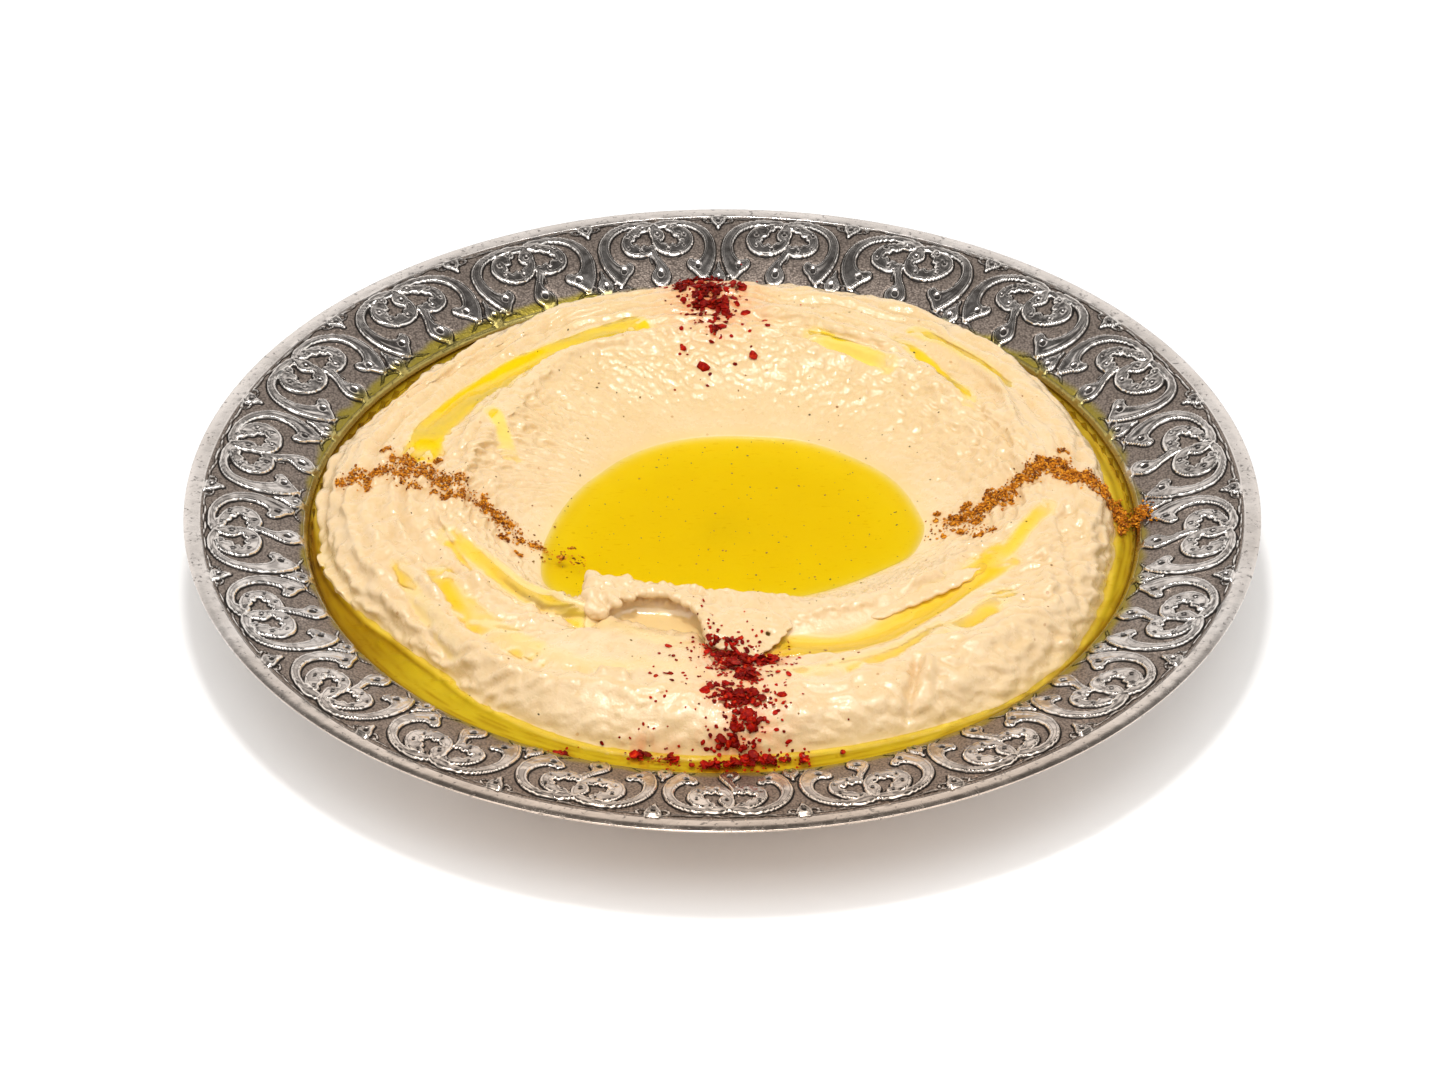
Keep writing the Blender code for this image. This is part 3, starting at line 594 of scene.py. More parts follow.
class Nodes:
    """A material's nodes, added and linked in one call each."""

    def __init__(self, name):
        self.mat = bpy.data.materials.new(name)
        self.mat.use_nodes = True
        self.tree = self.mat.node_tree
        self.shader = self.tree.nodes["Principled BSDF"]
        self.out = self.tree.nodes["Material Output"]

    def add(self, kind, props=None, **inputs):
        node = self.tree.nodes.new("ShaderNode" + kind)
        for k, v in (props or {}).items():
            setattr(node, k, v)
        for k, v in inputs.items():
            self.put(node, k, v)
        return node

    def put(self, node, key, value):
        key = key.replace("_", " ")
        socket = node.inputs[int(key)] if key.isdigit() else node.inputs[key]
        if isinstance(value, bpy.types.NodeSocket):
            self.tree.links.new(value, socket)
        else:
            socket.default_value = value

    def math(self, op, a, b=None, c=None):
        node = self.tree.nodes.new("ShaderNodeMath")
        node.operation = op
        for i, v in enumerate((a, b, c)):
            if v is not None:
                self.put(node, str(i), v)
        return node.outputs[0]

    def mix(self, fac, a, b, blend="MIX"):
        node = self.tree.nodes.new("ShaderNodeMix")
        node.data_type = "RGBA"
        node.blend_type = blend
        for key, v in (("Factor", fac), ("A", a), ("B", b)):
            socket = next(s for s in node.inputs if s.name == key and s.enabled and (key == "Factor" or s.type == "RGBA"))
            if isinstance(v, bpy.types.NodeSocket):
                self.tree.links.new(v, socket)
            else:
                socket.default_value = v
        return next(s for s in node.outputs if s.enabled and s.type == "RGBA")

    def attr(self, name, out="Fac"):
        node = self.add("Attribute", {"attribute_name": name})
        return node.outputs[out]

    def noise(self, scale, detail=2.0, rough=0.5, vector=None, distortion=0.0):
        node = self.add("TexNoise", Scale=scale, Detail=detail, Roughness=rough, Distortion=distortion)
        if vector is not None:
            self.put(node, "Vector", vector)
        return node.outputs["Fac"]

    def ramp(self, fac, *stops):
        node = self.add("ValToRGB")
        self.put(node, "Fac", fac)
        ramp = node.color_ramp
        while len(ramp.elements) < len(stops):
            ramp.elements.new(0.5)
        for e, (p, c) in zip(ramp.elements, stops):
            e.position = p
            e.color = c if len(c) == 4 else (*c, 1)
        return node.outputs["Color"]

    def where(self):
        return self.add("TexCoord").outputs["Object"]

    def set(self, **values):
        for k, v in values.items():
            self.put(self.shader, k, v)


def grey(v):
    return (v, v, v, 1.0)


def hummus_material():
    m = Nodes("hummus_cream")
    at = m.where()
    broad = m.noise(95.0, 3.0, 0.55, at)
    fine = m.noise(900.0, 3.0, 0.6, at)
    base = m.ramp(broad, (0.30, (0.755, 0.535, 0.282)), (0.55, (0.78, 0.563, 0.312)), (0.78, (0.80, 0.597, 0.350)))
    base = m.mix(m.ramp(fine, (0.30, grey(0.10)), (0.55, grey(0.0))), base, (0.66, 0.45, 0.20, 1))
    # flecks of chickpea skin
    cells = m.add("TexVoronoi", {"feature": "F1"}, Vector=at, Scale=260.0, Randomness=1.0)
    spot = m.math("LESS_THAN", cells.outputs["Distance"], 0.11)
    rare = m.math("GREATER_THAN", m.noise(140.0, 1.0, 0.5, at), 0.60)
    spot = m.math("MULTIPLY", spot, rare)
    base = m.mix(m.math("MULTIPLY", spot, 0.55), base, srgb(176, 112, 48))
    # painted shade: creases are darker, tops paler
    base = m.mix(m.math("MULTIPLY", m.attr("hollow"), 0.34), base, (0.62, 0.395, 0.160, 1))
    # oil that soaked in, and cumin dust
    base = m.mix(m.math("MULTIPLY", m.attr("oil"), 0.6), base, (0.81, 0.585, 0.20, 1))
    base = m.mix(m.attr("soaked"), base, (0.84, 0.62, 0.045, 1))
    base = m.mix(m.attr("spice"), base, (0.64, 0.26, 0.014, 1))
    base = m.mix(m.attr("chilli"), base, (0.80, 0.15, 0.015, 1))
    rough = m.ramp(m.noise(420.0, 3.0, 0.6, at), (0.30, grey(0.22)), (0.70, grey(0.42)))
    rough = m.mix(m.attr("oil"), rough, grey(0.10))
    wrinkle = m.noise(1500.0, 4.0, 0.6, at, 0.6)
    pimples = m.noise(620.0, 2.0, 0.5, at)
    height = m.math("ADD", m.math("MULTIPLY", wrinkle, 0.35), m.math("MULTIPLY", pimples, 0.65))
    bump = m.add("Bump", Strength=0.55, Distance=0.00032, Height=height)
    dry = m.math("SUBTRACT", 1.0, m.math("MULTIPLY", m.attr("oil"), 0.9))
    m.put(bump, "Strength", m.math("MULTIPLY", dry, 0.8))
    m.put(m.shader, "Coat Normal", bump.outputs["Normal"])
    m.set(Base_Color=base, Normal=bump.outputs["Normal"])
    m.shader.inputs["Subsurface Weight"].default_value = 0.12
    m.shader.inputs["Subsurface Radius"].default_value = (1.0, 0.62, 0.30)
    m.shader.inputs["Subsurface Scale"].default_value = 0.0013
    m.shader.inputs["Specular IOR Level"].default_value = 0.5
    bare = m.math("SUBTRACT", 1.0, m.attr("under"))
    m.put(m.shader, "Coat Weight", m.math("MULTIPLY", bare, 0.55))
    m.put(m.shader, "Roughness", m.mix(m.attr("under"), rough, grey(0.75)))
    m.shader.inputs["Coat Roughness"].default_value = 0.07
    return m.mat


def metal_material():
    m = Nodes("silvered_metal")
    at = m.where()
    # distances from the ornament's outlines, in mm, come as attributes; the lines are drawn from them
    edge, bead, pit, plain = m.attr("edge"), m.attr("bead"), m.attr("pit"), m.attr("plain")
    def by_edge(*stops):
        return m.ramp(edge, *[(mm / 3.0 + 0.5, grey(v)) for mm, v in stops])
    def by_bead(*stops):
        return m.ramp(bead, *[(mm / 2.0 + 0.5, grey(v)) for mm, v in stops])
    tone = m.noise(60.0, 4.0, 0.6, at)
    base = m.ramp(tone, (0.30, srgb(212, 203, 196)), (0.70, srgb(240, 232, 226)))
    marks = m.noise(420.0, 5.0, 0.7, at, 1.2)
    base = m.mix(m.ramp(marks, (0.58, grey(0.0)), (0.72, grey(0.40))), base, srgb(120, 108, 100))
    # painted shade: the raised shapes darken towards their middles, in patches
    painted_shade_patches = m.ramp(m.noise(260.0, 3.0, 0.6, at, 0.8), (0.42, grey(0.0)), (0.60, grey(1.0)))
    inner = m.math("MULTIPLY", by_edge((0.30, 0.0), (0.55, 0.55)), m.math("SUBTRACT", 1.0, plain))
    base = m.mix(m.math("MULTIPLY", inner, painted_shade_patches), base, srgb(92, 82, 75))
    # stippled ground
    on_bead = by_bead((-0.04, 0.0), (0.04, 1.0))
    low = m.math("MULTIPLY", by_edge((-0.36, 1.0), (-0.28, 0.0)), m.math("SUBTRACT", 1.0, on_bead))
    stipple = m.add("TexVoronoi", {"feature": "F1"}, Vector=at, Scale=1900.0, Randomness=0.9).outputs["Distance"]
    base = m.mix(m.math("MULTIPLY", low, 0.92), base, srgb(160, 144, 132))
    base = m.mix(m.math("MULTIPLY", low, m.ramp(stipple, (0.30, grey(0.0)), (0.75, grey(0.62)))), base, srgb(62, 52, 46))
    # dark lines round the shapes, inside them, beside the beads and in the punched holes
    off_bead = m.math("SUBTRACT", 1.0, on_bead)
    line = m.math("MULTIPLY", by_edge((-0.48, 0.0), (-0.36, 1.0), (-0.08, 1.0), (0.0, 0.0)), off_bead)
    line = m.math("MAXIMUM", line, m.math("MULTIPLY", by_bead((-0.30, 0.0), (-0.22, 0.9), (-0.08, 0.9), (-0.02, 0.0)), by_edge((-0.05, 1.0), (0.05, 0.25))))
    line = m.math("MAXIMUM", line, by_edge((0.52, 0.0), (0.58, 0.5), (0.66, 0.5), (0.72, 0.0)))
    line = m.math("MAXIMUM", line, m.ramp(pit, (0.5, grey(0.95)), (0.57, grey(0.0))))
    line = m.math("MULTIPLY", line, m.math("SUBTRACT", 1.0, plain))
    # painted highlight: the edges of the raised shapes and the beads are painted near white
    painted_edge_highlight = m.math("MULTIPLY", m.math("MAXIMUM", by_edge((-0.06, 0.0), (0.02, 1.0), (0.16, 1.0), (0.24, 0.0)), by_bead((0.0, 0.0), (0.06, 0.8))), m.math("SUBTRACT", 1.0, plain))
    base = m.mix(painted_edge_highlight, base, srgb(250, 244, 238))
    # rubbed spots on the plain rim
    spots = m.ramp(m.noise(900.0, 3.0, 0.6, at), (0.60, grey(0.0)), (0.68, grey(0.55)))
    line = m.math("MAXIMUM", line, m.math("MULTIPLY", spots, plain))
    # painted reflection: a warm cast in front, standing for the food the metal mirrors
    apart = m.add("SeparateXYZ", Vector=at)
    ahead = m.add("MapRange", Value=apart.outputs["Y"])
    ahead.inputs["From Min"].default_value, ahead.inputs["From Max"].default_value = -0.05, -0.11
    base = m.mix(ahead.outputs[0], base, (0.98, 0.87, 0.77, 1), "MULTIPLY")
    # oil that crept over it
    base = m.mix(m.math("MULTIPLY", m.attr("gold"), 0.85), base, (0.44, 0.34, 0.030, 1))
    base = m.mix(m.math("MULTIPLY", line, 0.96), base, srgb(20, 15, 12))
    rough = m.ramp(m.noise(240.0, 4.0, 0.65, at), (0.30, grey(0.15)), (0.70, grey(0.27)))
    rough = m.mix(low, rough, grey(0.48))
    rough = m.mix(line, rough, grey(0.6))
    hammer = m.noise(330.0, 3.0, 0.55, at)
    rise = by_edge((-0.36, 0.12), (-0.16, 0.0), (-0.04, 0.25), (0.12, 1.0), (0.32, 0.78), (0.56, 0.66), (0.62, 0.50), (0.70, 0.66))
    height = m.math("ADD", m.math("MULTIPLY", m.math("MULTIPLY", stipple, low), 0.35), m.math("MULTIPLY", hammer, 0.22))
    height = m.math("ADD", height, m.math("MULTIPLY", rise, 0.9))
    bump = m.add("Bump", Strength=0.5, Distance=0.0004, Height=height)
    m.set(Base_Color=base, Roughness=rough, Normal=bump.outputs["Normal"])
    m.shader.inputs["Metallic"].default_value = 1.0
    return m.mat


def oil_material(name, ior):
    """A clear film: what lies below shows through, tinted by the depth of oil over it."""
    m = Nodes(name)
    m.tree.nodes.remove(m.shader)
    clear = m.add("BsdfTransparent")
    # threads and grains of pulp in the oil
    stretch = m.add("Mapping", Vector=m.where(), Scale=(420.0, 1500.0, 800.0))
    pulp = m.noise(1.0, 3.0, 0.65, stretch.outputs["Vector"])
    m.put(clear, "Color", m.mix(m.ramp(pulp, (0.62, grey(0.0)), (0.72, grey(0.5))), m.attr("tint", "Color"), (0.80, 0.62, 0.10, 1), "MULTIPLY"))
    gloss = m.add("BsdfAnisotropic")
    gloss.inputs["Roughness"].default_value = 0.03
    gloss.inputs["Color"].default_value = (1.0, 1.0, 1.0, 1.0)
    ripple = m.add("Bump", Strength=0.35, Distance=0.0005, Height=m.noise(150.0, 2.0, 0.5, m.where()))
    m.put(gloss, "Normal", ripple.outputs["Normal"])
    weight = m.add("Fresnel", IOR=ior)
    m.put(weight, "Normal", ripple.outputs["Normal"])
    mix = m.add("MixShader")
    m.tree.links.new(m.math("MAXIMUM", weight.outputs[0], m.attr("glint")), mix.inputs[0])
    m.tree.links.new(clear.outputs[0], mix.inputs[1])
    m.tree.links.new(gloss.outputs[0], mix.inputs[2])
    m.tree.links.new(mix.outputs[0], m.out.inputs["Surface"])
    return m.mat


def flake_material():
    m = Nodes("chilli_flake")
    at = m.where()
    c = m.ramp(m.noise(1100.0, 3.0, 0.6, at), (0.30, (0.26, 0.001, 0.0002)), (0.52, (0.46, 0.005, 0.0008)), (0.72, (0.78, 0.055, 0.004)))
    # darker flakes: their own colour varies, and heaped flakes are darker still as painted shade
    c = m.mix(m.math("MULTIPLY", m.attr("dark"), 0.85), c, (0.055, 0.0006, 0.0002, 1))
    bump = m.add("Bump", Strength=0.5, Distance=0.0002, Height=m.noise(2500.0, 3.0, 0.6, at))
    m.set(Base_Color=c, Normal=bump.outputs["Normal"])
    m.shader.inputs["Roughness"].default_value = 0.42
    m.shader.inputs["Specular IOR Level"].default_value = 0.08
    return m.mat


def cumin_material():
    m = Nodes("cumin_powder")
    c = m.ramp(m.attr("shade"), (0.0, (0.10, 0.020, 0.001)), (0.30, (0.34, 0.092, 0.002)), (0.68, (0.58, 0.190, 0.005)), (1.0, (0.78, 0.330, 0.022)))
    m.set(Base_Color=c)
    m.shader.inputs["Roughness"].default_value = 0.6
    m.shader.inputs["Specular IOR Level"].default_value = 0.15
    return m.mat


def speck_material():
    m = Nodes("herb_speck")
    c = m.ramp(m.attr("shade"), (0.0, srgb(70, 62, 8)), (0.6, srgb(128, 92, 8)), (1.0, srgb(150, 78, 14)))
    m.set(Base_Color=c)
    m.shader.inputs["Roughness"].default_value = 0.4
    return m.mat


# ---------------------------------------------------------------- the plate
CELLS, PER_CELL, BAND_ROWS = 21, 96, 48
CELL_EDGES = [1.4, 19.5, 37.9, 56.1, 74.4, 90.5, 106.6, 124.0, 142.0, 160.4, 177.9, 195.2, 212.2, 228.8, 245.6, 262.8,
              278.5, 295.0, 311.6, 327.8, 344.7]
MAP_W, MAP_H = 420, 300
R_OUT, R_IN = 116.5, 92.5           # the radii of the drawing's top and bottom edges

PROFILE = [(0, 1.6), (78, 1.6), (82, 2.2), (86, 4.5), (89, 8.5), (91, 13.0), (92.2, 16.5), (93.2, 18.2), (95, 19.1),
           (115, 23.9), (118.8, 24.05), (120, 23.8)]
UNDER = [(120, 23.5), (119.6, 23.15), (119, 22.7), (115, 22.2), (95.6, 17.5), (93.7, 16), (91.6, 12.2), (89.2, 7), (85.2, 3), (80, 0.5),
         (76, 0), (40, 0), (0, 0)]

# one cell of the chased ornament, drawn on 420 x 300 units, y down: smooth closed outlines
ARM = [(207, 36), (172, 24), (122, 26), (76, 42), (41, 72), (21, 108), (13, 150), (18, 195), (34, 232), (56, 258), (72, 248), (90, 228),
       (104, 218), (113, 201), (103, 187), (86, 193), (67, 189), (51, 166), (45, 133), (52, 100), (74, 68), (108, 48), (146, 41), (182, 50), (202, 50)]
VOLUTE_L = [(190, 50), (152, 51), (116, 70), (96, 98), (92, 125), (102, 149), (125, 164), (155, 169), (181, 161), (193, 147),
            (186, 131), (172, 138), (160, 128), (147, 137), (137, 121), (123, 125), (121, 104), (135, 97), (131, 83), (150, 85),
            (160, 71), (180, 68)]
VOLUTE_R = [(193, 104), (196, 130), (212, 155), (244, 168), (281, 164), (309, 148), (325, 122), (327, 95), (312, 66), (286, 50), (254, 49),
            (246, 63), (262, 72), (266, 90), (284, 94), (280, 108), (294, 114), (280, 122), (270, 135), (257, 126), (244, 137), (231, 124),
            (219, 123), (210, 106)]
BUD = [(208, 36), (197, 60), (190, 86), (198, 107), (214, 112), (228, 100), (232, 82), (222, 62), (212, 46)]
PALMETTE = [(181, 148), (194, 152), (202, 174), (218, 199), (233, 221), (240, 243), (231, 266), (210, 281), (189, 274), (177, 256), (178, 238),
            (190, 222), (197, 206), (190, 186), (180, 166)]
TREFOIL = [(-21, 16), (-10, 8), (10, 8), (21, 16), (15, 32), (6, 43), (0, 60), (-6, 43), (-15, 32)]
FLEUR = [(0, 200), (-5, 222), (-17, 238), (-24, 258), (-14, 276), (0, 282), (14, 276), (24, 258), (17, 238), (5, 222)]
HOLES = [(78, 214, 9), (206, 240, 10), (116, 82, 5), (150, 150, 5), (211, 88, 6), (240, 148, 5), (300, 88, 5), (296, 132, 4), (0, 27, 7),
         (0, 258, 7), (108, 132, 4), (170, 58, 4), (262, 58, 4), (344, 214, 9)]
BEADS = [  # thin raised lines: half width, path
    (2.6, [(-8, 8), (30, 14), (70, 9), (110, 15), (150, 9), (190, 15), (230, 9), (270, 15), (310, 9), (350, 15), (390, 9), (428, 14)]),
    (2.2, [(-12, 30), (-30, 34), (-44, 24), (-36, 14)]), (2.2, [(12, 30), (30, 34), (44, 24), (36, 14)]),
    (2.4, [(0, 286), (40, 266), (74, 262), (106, 280), (140, 291), (176, 284), (205, 292), (236, 284), (276, 291), (314, 280), (346, 262),
           (380, 266), (420, 286)]),
    (2.2, [(56, 258), (40, 246), (22, 250), (8, 240)]), (2.2, [(364, 258), (380, 246), (398, 250), (412, 240)]),
    (2.0, [(185, 150), (176, 176), (180, 196)]),
]


def closed(points, per=4):
    p = np.array(points, float)
    n = len(p)
    out = []
    for k in range(n):
        a, b, c, d = p[(k - 1) % n], p[k], p[(k + 1) % n], p[(k + 2) % n]
        for t in np.arange(per) / per:
            out.append(0.5 * (2 * b + (c - a) * t + (2 * a - 5 * b + 4 * c - d) * t * t + (3 * b - a - 3 * c + d) * t ** 3))
    return np.array(out)


def outline_distance(px, py, poly):
    """Signed distance to a closed outline, in drawing units, positive inside."""
    best = np.full(px.shape, 1e9)
    inside = np.zeros(px.shape, bool)
    for (ax, ay), (bx, by) in zip(poly, np.roll(poly, -1, 0)):
        dx, dy = bx - ax, by - ay
        t = np.clip(((px - ax) * dx + (py - ay) * dy) / max(dx * dx + dy * dy, 1e-9), 0, 1)
        best = np.minimum(best, (px - ax - t * dx) ** 2 + (py - ay - t * dy) ** 2)
        cross = ((ay > py) != (by > py)) & (px < (bx - ax) * (py - ay) / (by - ay if by != ay else 1e-9) + ax)
        inside ^= cross
    return np.where(inside, 1, -1) * np.sqrt(best)


def path_distance(px, py, path):
    best = np.full(px.shape, 1e9)
    for (ax, ay), (bx, by) in zip(path[:-1], path[1:]):
        dx, dy = bx - ax, by - ay
        t = np.clip(((px - ax) * dx + (py - ay) * dy) / max(dx * dx + dy * dy, 1e-9), 0, 1)
        best = np.minimum(best, (px - ax - t * dx) ** 2 + (py - ay - t * dy) ** 2)
    return np.sqrt(best)


def ornament_maps():
    """Distance to the raised shapes' edges (mm, positive on them) and to the beads, over one cell."""
    px, py = np.meshgrid(np.arange(MAP_W) + 0.5, np.arange(MAP_H) + 0.5)
    mirror = lambda pts: [(420 - x, y) for x, y in pts]
    shapes = [ARM, mirror(ARM), VOLUTE_L, VOLUTE_R, BUD, PALMETTE]
    shapes += [[(x + dx, y) for x, y in s] for s in (TREFOIL, FLEUR) for dx in (0, 420)]
    sd = np.full(px.shape, -1e9)
    seams = np.full(px.shape, 1e9)
    for k, s in enumerate(shapes):
        d = outline_distance(px, py, closed(s))
        seams = np.where((d > 0) & (sd > 0), seams, np.minimum(seams, np.abs(d)))
        sd = np.maximum(sd, d)
    hole = np.full(px.shape, 1e9)
    for x, y, r in HOLES:
        for dx in (0, 420):
            hole = np.minimum(hole, np.hypot(px - x - dx, py - y) - r)
    bead = np.full(px.shape, -1e9)
    for w, path in BEADS:
        for dx in (-420, 0, 420):
            if min(p[0] for p in path) + dx < 430 and max(p[0] for p in path) + dx > -10:
                bead = np.maximum(bead, w - path_distance(px, py, catmull([(x + dx, y) for x, y in path], 4)))
    return sd / 13.0, hole / 13.0, bead / 13.0


def sample_map(grid, u, v):
    """Bilinear; u wraps."""
    x, y = u * MAP_W - 0.5, np.clip(v * MAP_H - 0.5, 0, MAP_H - 1.001)
    x0, y0 = np.floor(x).astype(int), np.floor(y).astype(int)
    fx, fy = x - x0, y - y0
    a, b = grid[y0, x0 % MAP_W], grid[y0, (x0 + 1) % MAP_W]
    c, d = grid[y0 + 1, x0 % MAP_W], grid[y0 + 1, (x0 + 1) % MAP_W]
    return (a * (1 - fx) + b * fx) * (1 - fy) + (c * (1 - fx) + d * fx) * fy


def profile_z(r):
    pr, pz = np.array(PROFILE).T
    m = pchip_slopes(pr, pz)
    i = np.clip(np.searchsorted(pr, r) - 1, 0, len(pr) - 2)
    h = pr[i + 1] - pr[i]
    t = np.clip((r - pr[i]) / h, 0, 1)
    return ((1 + 2 * t) * (1 - t) ** 2) * pz[i] + t * (1 - t) ** 2 * h * m[i] + t * t * (3 - 2 * t) * pz[i + 1] + t * t * (t - 1) * h * m[i + 1]


def build_plate():
    n = CELLS * PER_CELL
    edges = np.array(CELL_EDGES + [CELL_EDGES[0] + 360.0])
    cell = np.repeat(np.arange(CELLS), PER_CELL)
    frac = np.tile(np.arange(PER_CELL) / PER_CELL, CELLS)
    theta = np.radians(edges[cell] + frac * (edges[cell + 1] - edges[cell]))
    sd_map, hole_map, bead_map = ornament_maps()

    fine_r = np.concatenate([[92.9, 93.4, 93.9], np.linspace(94.4, 116.6, BAND_ROWS), [117.4, 118.3, 119.0, 119.5, 119.85, 120.0]])
    T, Rr = np.meshgrid(theta, fine_r, indexing="ij")
    U = np.broadcast_to((1.0 - frac)[:, None], T.shape)          # the drawing reads clockwise
    V = (R_OUT - Rr) / (R_OUT - R_IN)
    # each cell was cut by hand: shift and lean it a little
    c = np.broadcast_to(cell[:, None], T.shape)
    h = lambda k: hash01(c, 0 * c + k, 5) - 0.5
    bend = np.sin(np.pi * U)
    U2 = U + bend * (0.030 * h(1) + 0.05 * h(2) * (V - 0.5) + 0.018 * np.sin(5.0 * V + 6.3 * h(3)))
    V2 = V + bend * (0.035 * h(4) + 0.04 * h(5) * (U - 0.5)) + 0.010 * np.sin(9.0 * U + 6.3 * h(6)) * bend
    flip = h(7) > 0.22
    U2 = np.where(flip, 1.0 - U2, U2)
    sd, hole, bead = sample_map(sd_map, U2, V2), sample_map(hole_map, U2, V2), sample_map(bead_map, U2, V2)
    X, Y = Rr * np.cos(T), Rr * np.sin(T)
    sd = sd + 0.10 * noise2(X / 2.5, Y / 2.5, 81) + 0.04 * noise2(X / 0.9, Y / 0.9, 82)
    sd = sd + 0.16
    on = smoothstep(-0.13, 0.13, sd)
    relief = 0.46 * on + 0.26 * np.exp(-((sd - 0.26) / 0.22) ** 2) - 0.24 * np.exp(-((sd + 0.32) / 0.22) ** 2)
    relief += 0.16 * np.exp(-((sd - 1.15) / 0.5) ** 2) * on
    relief += 0.26 * smoothstep(-0.10, 0.12, bead) * (1 - 0.6 * on) - 0.14 * np.exp(-((bead + 0.26) / 0.17) ** 2) * (1 - on)
    relief -= 0.36 * (1 - smoothstep(-0.05, 0.30, hole)) - 0.10 * np.exp(-((hole - 0.4) / 0.2) ** 2)
    relief += 0.05 * noise2(X / 1.1, Y / 1.1, 83) * (1 - on) + 0.045 * noise2(X / 2.4, Y / 2.4, 84) * on
    band = smoothstep(93.2, 94.6, Rr) * (1 - smoothstep(115.6, 116.6, Rr))
    relief *= band
    plain = smoothstep(116.4, 117.6, Rr) * (1 - smoothstep(118.8, 119.8, Rr))
    relief += plain * 0.035 * noise2(X / 3.2, Y / 3.2, 85)
    Z = profile_z(Rr) + relief
    flat_rim = 1 - band
    edge_at = lerp(np.clip(sd, -1.5, 1.5) / 3.0 + 0.5, 0.62, flat_rim)
    bead_at = np.clip(bead, -1.0, 1.0) * 0.5 + 0.5
    bead_at = lerp(bead_at, 0.0, flat_rim)
    pit_at = lerp(np.clip(hole, -1.0, 1.0) * 0.5 + 0.5, 1.0, flat_rim)

    verts = [np.stack([X, Y, Z], -1).reshape(-1, 3)]

    # oil that crept up between the ornament's leaves
    deg = np.degrees(T)
    creep = 1.2 + 2.0 * window(deg, 108, 162, 8) + 1.6 * window(deg, 236, 352, 10) + 1.2 * window(deg, 20, 50, 8) + 1.6 * noise2(X / 5.0, Y / 5.0, 88)
    gold = 1 - smoothstep(creep - 1.2, creep + 0.8, Rr - 93.0)
    layers = {"edge": [edge_at.ravel()], "bead": [bead_at.ravel()], "pit": [pit_at.ravel()], "plain": [flat_rim.ravel()], "gold": [gold.ravel()]}
    count = len(fine_r)
    faces = []
    i, j = np.arange(n), (np.arange(n) + 1) % n
    for k in range(count - 1):
        faces.append(np.stack([i * count + k, i * count + k + 1, j * count + k + 1, j * count + k], 1))
    total = n * count

    # the well, with fewer columns
    m = n // 6
    th_c = theta[::6]
    def coarse_ring(radii, heights):
        nonlocal total
        start = total
        radii, heights = np.asarray(radii, float), np.asarray(heights, float)
        P = np.stack([np.outer(radii, np.cos(th_c)), np.outer(radii, np.sin(th_c)), np.repeat(heights[:, None], m, 1)], -1)
        verts.append(P.reshape(-1, 3))
        for key, v in (("edge", 0.62), ("bead", 0.0), ("pit", 1.0), ("plain", 1.0)):
            layers[key].append(np.full(len(radii) * m, v))
        layers["gold"].append(np.repeat(np.where((radii < 93.0) & (len(radii) > 13), 1.0, 0.0), m))
        total += len(radii) * m
        return [start + q * m for q in range(len(radii))]
    def joined(a, b):
        return ring_faces(a, b, m)
    wall_r = np.array([2.0, 40, 70, 78, 80.5, 82.5, 84.5, 86.2, 87.7, 89.0, 90.0, 90.8, 91.4, 91.9, 92.3])
    rings_in = coarse_ring(wall_r, profile_z(wall_r))
    for a, b in zip(rings_in[:-1], rings_in[1:]):
        faces.append(joined(a, b))
    # coarse wall ring to the first fine ring: the fine ring's vertices sit at i * count
    a = rings_in[-1] + np.arange(m); b = rings_in[-1] + (np.arange(m) + 1) % m
    f = [((np.arange(m) * 6 + k) % n) * count for k in range(7)]
    for k in range(3):
        faces.append(np.stack([a, f[k], f[k + 1]], 1))
    faces.append(np.stack([a, f[3], b], 1))
    for k in range(3, 6):
        faces.append(np.stack([b, f[k], f[k + 1]], 1))
    # the underside
    under = np.array(UNDER[:-1], float)
    rings_un = coarse_ring(under[:, 0], under[:, 1])
    for p, q in zip(rings_un[:-1], rings_un[1:]):
        faces.append(joined(p, q))
    f = [((np.arange(m) * 6 + k) % n) * count + count - 1 for k in range(7)]
    a = rings_un[0] + np.arange(m); b = rings_un[0] + (np.arange(m) + 1) % m
    for k in range(3):
        faces.append(np.stack([a, f[k + 1], f[k]], 1))
    faces.append(np.stack([a, b, f[3]], 1))
    for k in range(3, 6):
        faces.append(np.stack([b, f[k + 1], f[k]], 1))
    # middles
    verts.append(np.array([[0, 0, 1.6], [0, 0, 0.0]]))
    for key, v in (("edge", 0.62), ("bead", 0.0), ("pit", 1.0), ("plain", 1.0), ("gold", 0.0)):
        layers[key].append(np.full(2, v))
    q = np.arange(m); q2 = (q + 1) % m
    faces.append(np.stack([np.full(m, total), rings_in[0] + q, rings_in[0] + q2], 1))
    faces.append(np.stack([np.full(m, total + 1), rings_un[-1] + q2, rings_un[-1] + q], 1))
    obj = make_mesh("plate_embossed", np.concatenate(verts), faces)
    for key, parts in layers.items():
        attribute(obj, key, np.concatenate(parts))
    return obj


